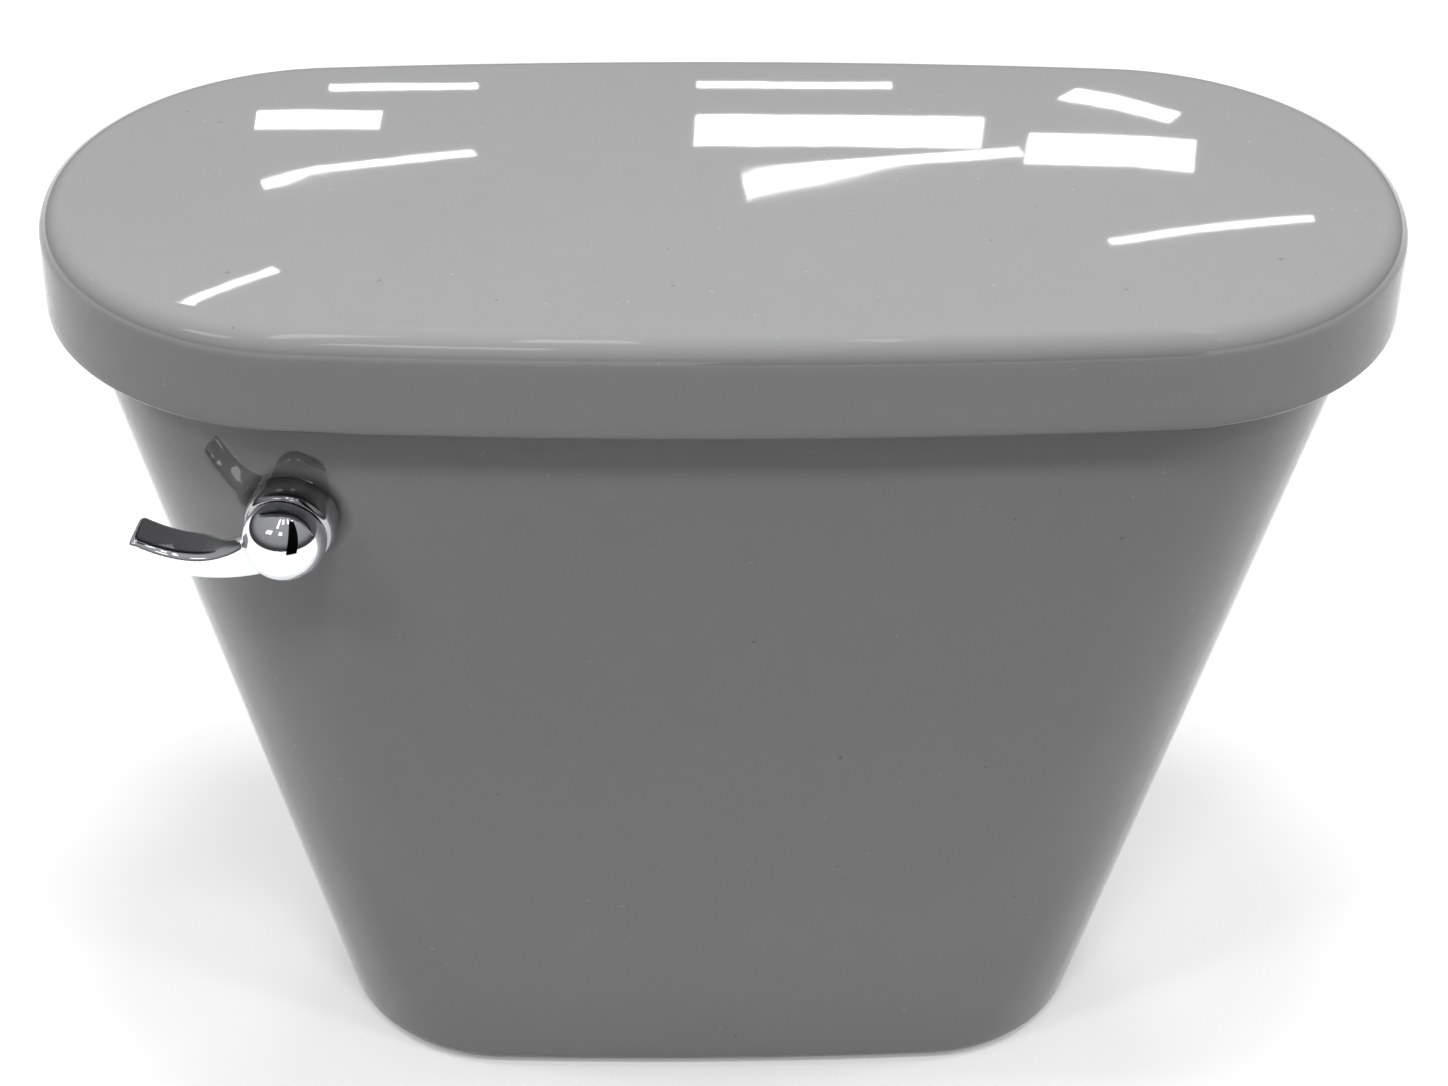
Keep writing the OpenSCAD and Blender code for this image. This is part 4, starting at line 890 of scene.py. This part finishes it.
def paddle_section(s, around=64):
    """The bar's section at share s of its length."""
    u = PADDLE_ROOT + (1 - PADDLE_ROOT) * s
    rise = (u - PADDLE_LOW) / (1 - PADDLE_LOW)
    y = -PADDLE_DIP + PADDLE_RISE * rise ** 2
    lean = atan(2 * PADDLE_RISE * rise / (1 - PADDLE_LOW) / PADDLE_L)
    end = PADDLE_END_R / PADDLE_L / (1 - PADDLE_ROOT)
    over = min(1.0, max(0.0, (s - 1 + end) / end))
    less = PADDLE_END_R * (1 - sqrt(1 - over ** 2))
    flare = 1 + PADDLE_FLARE * max(0.0, 1 - 2 * s) ** 2
    thick = PADDLE_T / 2 * (ROOT_THICK - THICK_LOST * s) * flare - less
    root = (1 - min(1.0, max(0.0, (s - ROOT_FROM) / ROOT_SPAN)) ** 2) ** 2
    depth = PADDLE_D + root * (PADDLE_FRONT - PADDLE_D - BACK_Z - 0.4)
    points = []
    for k in range(around):
        a = 2 * pi * k / around
        v = thick * rounded(sin(a), SQUARENESS)
        z = PADDLE_FRONT - depth / 2 + (depth / 2 - less) * rounded(cos(a), SQUARENESS)
        points.append((-PADDLE_L * u + v * sin(lean), y + v * cos(lean), z))
    return points


def lever_handle():
    bm = bmesh.new()
    start = acos((BACK_Z - BALL_Z) / BALL_R)
    polar = [start * (1 - k / 60) for k in range(61)]
    lathe(bm, [(0, BACK_Z)] + [(BALL_R * sin(a), BALL_Z + BALL_R * cos(a)) for a in polar], AT_LEVER, 128)
    end = PADDLE_END_R / PADDLE_L / (1 - PADDLE_ROOT)
    shares = [(1 - end) * k / 60 for k in range(60)] + [1 - end + end * sin(pi / 2 * k / 8) for k in range(9)]
    loft(bm, [paddle_section(s) for s in shares], AT_LEVER)
    casting = piece_from(bm, "casting", "chrome")
    remesh = casting.modifiers.new("one_skin", "REMESH")
    remesh.mode = "VOXEL"
    remesh.voxel_size = 0.36 * MM
    smooth = casting.modifiers.new("fillet", "SMOOTH")
    smooth.factor = 0.5
    smooth.iterations = 18
    settle(casting)
    bm = bmesh.new()
    lathe(bm, [(0, -STEM_L), (STEM_R - STEM_EDGE, -STEM_L), (STEM_R, -STEM_L + STEM_EDGE), (STEM_R, BALL_Z),
               (0, BALL_Z)], AT_LEVER, 64)
    return crease(piece_from(bm, "chrome_handle", "chrome", [casting]), 40)


handle = lever_handle()
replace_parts(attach(handle, "handle"), "lever_handle")
print("lever handle:", len(handle.data.polygons), "faces")

# %% [markdown]
# ### Screw threads
# The lever's shank, the two bolts and the inlet's tail are threaded. A thread is a ridge that climbs round a cylinder,
# so a Geometry Nodes tree draws a spiral and sweeps a small round along it. Its inputs are the crest's radius, the
# length, the pitch and the ridge's own radius.

# %% Geometry Nodes tree of a thread
def thread_rule():
    tree, w, size = new_tree("thread_rule", [("Crest", "Float"), ("Length", "Float"), ("Pitch", "Float"),
                                             ("Ridge", "Float"), ("Finish", "Material")])
    run = size["Crest"] - size["Ridge"]
    spiral = w.node("GeometryNodeCurveSpiral", {}, {"Resolution": 40, "Rotations": size["Length"] / size["Pitch"],
                                                    "Start Radius": run, "End Radius": run, "Height": size["Length"]})
    ridge = w.node("GeometryNodeCurvePrimitiveCircle", {}, {"Resolution": 6, "Radius": size["Ridge"]})
    swept = w.node("GeometryNodeCurveToMesh", {}, {"Curve": spiral, "Profile Curve": ridge, "Fill Caps": True})
    end_tree(w, swept, size["Finish"])
    return tree


THREAD_RULE = thread_rule()
RIDGE_SHARE = 0.28


def thread(name, slot, place, crest, low, high, pitch):
    """A thread between two heights, in mm, about the Z axis of place."""
    made = grow(name, THREAD_RULE, Crest=crest * MM, Length=(high - low) * MM, Pitch=pitch * MM,
                Ridge=RIDGE_SHARE * pitch * MM, Finish=FINISH[slot])
    made.data.transform(place @ Matrix.Translation((0, 0, low * MM)))
    return made


for side, x in (("left", -BOLT_X), ("right", BOLT_X)):
    made = thread(f"bolt_thread_{side}", "brass", Matrix.Translation((x * MM, 0, 0)),
                  crest=3.95, low=2.5, high=27, pitch=1.41)
    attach(made, "tank")
made = thread("inlet_thread", "grey_plastic", Matrix.Translation((INLET_X * MM, INLET_Y * MM, 0)),
              crest=10.9, low=3.5, high=25, pitch=1.81)
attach(made, "tank")
print("threads: 2 bolts and the inlet")

# %% [markdown]
# ### The lever's collar
# The collar is turned: an upright side, then a flank that bends in to the face under the ball. Behind it a square neck
# keeps it from turning in the china, and a threaded shank takes the nut.

# %% Lever collar
NECK_LOW, NECK_HIGH, NECK_CORNER, NECK_STEPS = -8.1, 0.5, 1.2, 8
SHANK_L, SHANK_R, SHANK_CORE, SHANK_EDGE = 20.6, 7.6, 6.9, 0.5
BORE_R, SIDE_EDGE, FLANK_STEPS = STEM_R + 0.05, 0.4, 24


def lever_collar():
    bm = bmesh.new()
    quarter = [pi / 2 * k / FLANK_STEPS for k in range(FLANK_STEPS + 1)]
    flank = [(COLLAR_FACE_R + (COLLAR_R - COLLAR_FACE_R) * cos(a), COLLAR_SIDE + (COLLAR_T - COLLAR_SIDE) * sin(a))
             for a in quarter]
    lathe(bm, [(BORE_R, -SHANK_L), (SHANK_CORE - SHANK_EDGE, -SHANK_L), (SHANK_CORE, -SHANK_L + SHANK_EDGE),
               (SHANK_CORE, 0), (COLLAR_R - SIDE_EDGE, 0), (COLLAR_R, SIDE_EDGE)] + flank
          + [(COLLAR_FACE_R - 0.5, COLLAR_T), (BORE_R, COLLAR_T)], AT_LEVER, 128, True)
    flat = NECK_W / 2 - NECK_CORNER
    square = []
    for corner, (sx, sy) in enumerate(((1, 1), (-1, 1), (-1, -1), (1, -1))):
        turns = [pi / 2 * (corner + k / NECK_STEPS) for k in range(NECK_STEPS + 1)]
        square += [(sx * flat + NECK_CORNER * cos(a), sy * flat + NECK_CORNER * sin(a)) for a in turns]
    # the neck's inner edge lies hidden inside the shank
    hidden = 0.9 * SHANK_CORE
    inner = [(hidden * cos(atan2(y, x)), hidden * sin(atan2(y, x))) for x, y in square]
    rows = [[bm.verts.new(AT_LEVER @ Vector((x * MM, y * MM, z * MM))) for x, y in line]
            for line, z in ((inner, NECK_LOW), (square, NECK_LOW), (square, NECK_HIGH), (inner, NECK_HIGH))]
    for low, high in zip(rows, rows[1:] + rows[:1]):
        for k in range(len(square)):
            bm.faces.new((low[k], low[k + 1 - len(square)], high[k + 1 - len(square)], high[k]))
    # shank thread and collar take the collar's chrome, painted darker as painted shade
    screw = thread("screw", "dull_chrome", AT_LEVER, crest=SHANK_R, low=-SHANK_L + 1, high=NECK_LOW - 0.6, pitch=1.8)
    return crease(piece_from(bm, "chrome_collar", "dull_chrome", [screw]), 34)


collar = lever_collar()
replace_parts(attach(collar, "tank"), "lever_bushing")
print("lever collar:", len(collar.data.polygons), "faces")

# %% [markdown]
# ### The ball chain
# The lift chain is a row of hollow balls on short wires. The tree sets balls along a line and runs one thin wire
# through them, so the spacing follows from the length and the number of balls.

# %% Geometry Nodes tree of the chain
def chain_rule():
    tree, w, size = new_tree("chain_rule", [("Length", "Float"), ("Balls", "Int"), ("Ball", "Float"),
                                            ("Wire", "Float"), ("Finish", "Material")])
    pitch = size["Length"] / size["Balls"]
    first = w.node("ShaderNodeCombineXYZ", {}, {"Z": pitch / 2})
    step = w.node("ShaderNodeCombineXYZ", {}, {"Z": pitch})
    spots = w.node("GeometryNodeMeshLine", {}, {"Count": size["Balls"], "Start Location": first, "Offset": step})
    ball = w.node("GeometryNodeMeshUVSphere", {}, {"Segments": 20, "Rings": 12, "Radius": size["Ball"]})
    balls = w.node("GeometryNodeInstanceOnPoints", {}, {"Points": spots, "Instance": ball})
    top = w.node("ShaderNodeCombineXYZ", {}, {"Z": size["Length"]})
    line = w.node("GeometryNodeCurvePrimitiveLine", {}, {"Start": (0, 0, 0), "End": top})
    round_wire = w.node("GeometryNodeCurvePrimitiveCircle", {}, {"Resolution": 10, "Radius": size["Wire"]})
    wire = w.node("GeometryNodeCurveToMesh", {}, {"Curve": line, "Profile Curve": round_wire, "Fill Caps": True})
    both = w.tree.nodes.new("GeometryNodeJoinGeometry")
    w.tree.links.new(balls.socket, both.inputs[0])
    w.tree.links.new(wire.socket, both.inputs[0])
    end_tree(w, Wire(tree, both.outputs[0]), size["Finish"])
    return tree


chain_low, chain_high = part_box("chain")
BALL_STEP, CHAIN_BALL, CHAIN_WIRE = 4.6 * MM, 1.6 * MM, 0.5 * MM
length = chain_high.z - chain_low.z
count = int(length / BALL_STEP)
chain = grow("ball_chain", chain_rule(), Length=length, Balls=count, Ball=CHAIN_BALL, Wire=CHAIN_WIRE,
             Finish=FINISH["steel"])
middle = (chain_low + chain_high) / 2
chain.data.transform(Matrix.Translation((middle.x, middle.y, chain_low.z)))
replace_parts(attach(chain, "chain"), "chain")
print("chain:", count, "balls")

# %% [markdown]
# ## The carried-over solids
# The pieces inside the tank keep their CAD shape, and their meshes are left alone: modifiers finish them. A small tree
# lays on the finish and shades the faces smooth, a Weld joins the faces' borders, a Bevel wears the edges as a mould
# or a tool leaves them, and an Edge Split keeps the sharp ones crisp.

# %% Finishes of the carried-over solids
SLOT_OF = {row["node"]: row["material_slot"] for row in frame["record"]["subparts"]}
BORDER, WORN_EDGE, BEVEL_FROM, SHARP_FROM = 0.002, 0.35, 40, 34


def smooth_rule():
    tree, w, size = new_tree("smooth_rule", [("Solid", "Geometry"), ("Finish", "Material")])
    plain = w.node("GeometryNodeRemoveAttribute", {}, {"Geometry": size["Solid"], "Name": "custom_normal"})
    end_tree(w, plain, size["Finish"])
    return tree


SMOOTH_RULE = smooth_rule()


def dress(piece, finish):
    piece.material_slots[0].material = finish
    add_tree(piece, SMOOTH_RULE, Finish=finish)
    weld = piece.modifiers.new("weld", "WELD")
    weld.merge_threshold = BORDER * MM
    bevel = piece.modifiers.new("worn_edges", "BEVEL")
    bevel.width = WORN_EDGE * MM
    bevel.segments = 2
    bevel.limit_method = "ANGLE"
    bevel.angle_limit = radians(BEVEL_FROM)
    split = piece.modifiers.new("sharp_edges", "EDGE_SPLIT")
    split.split_angle = radians(SHARP_FROM)


shown = [node for node, piece in frame["nodes"].items() if not piece.hide_render]
for node in shown:
    dress(frame["nodes"][node], FINISH[SLOT_OF[node]])
print("carried over:", len(shown), "solids")
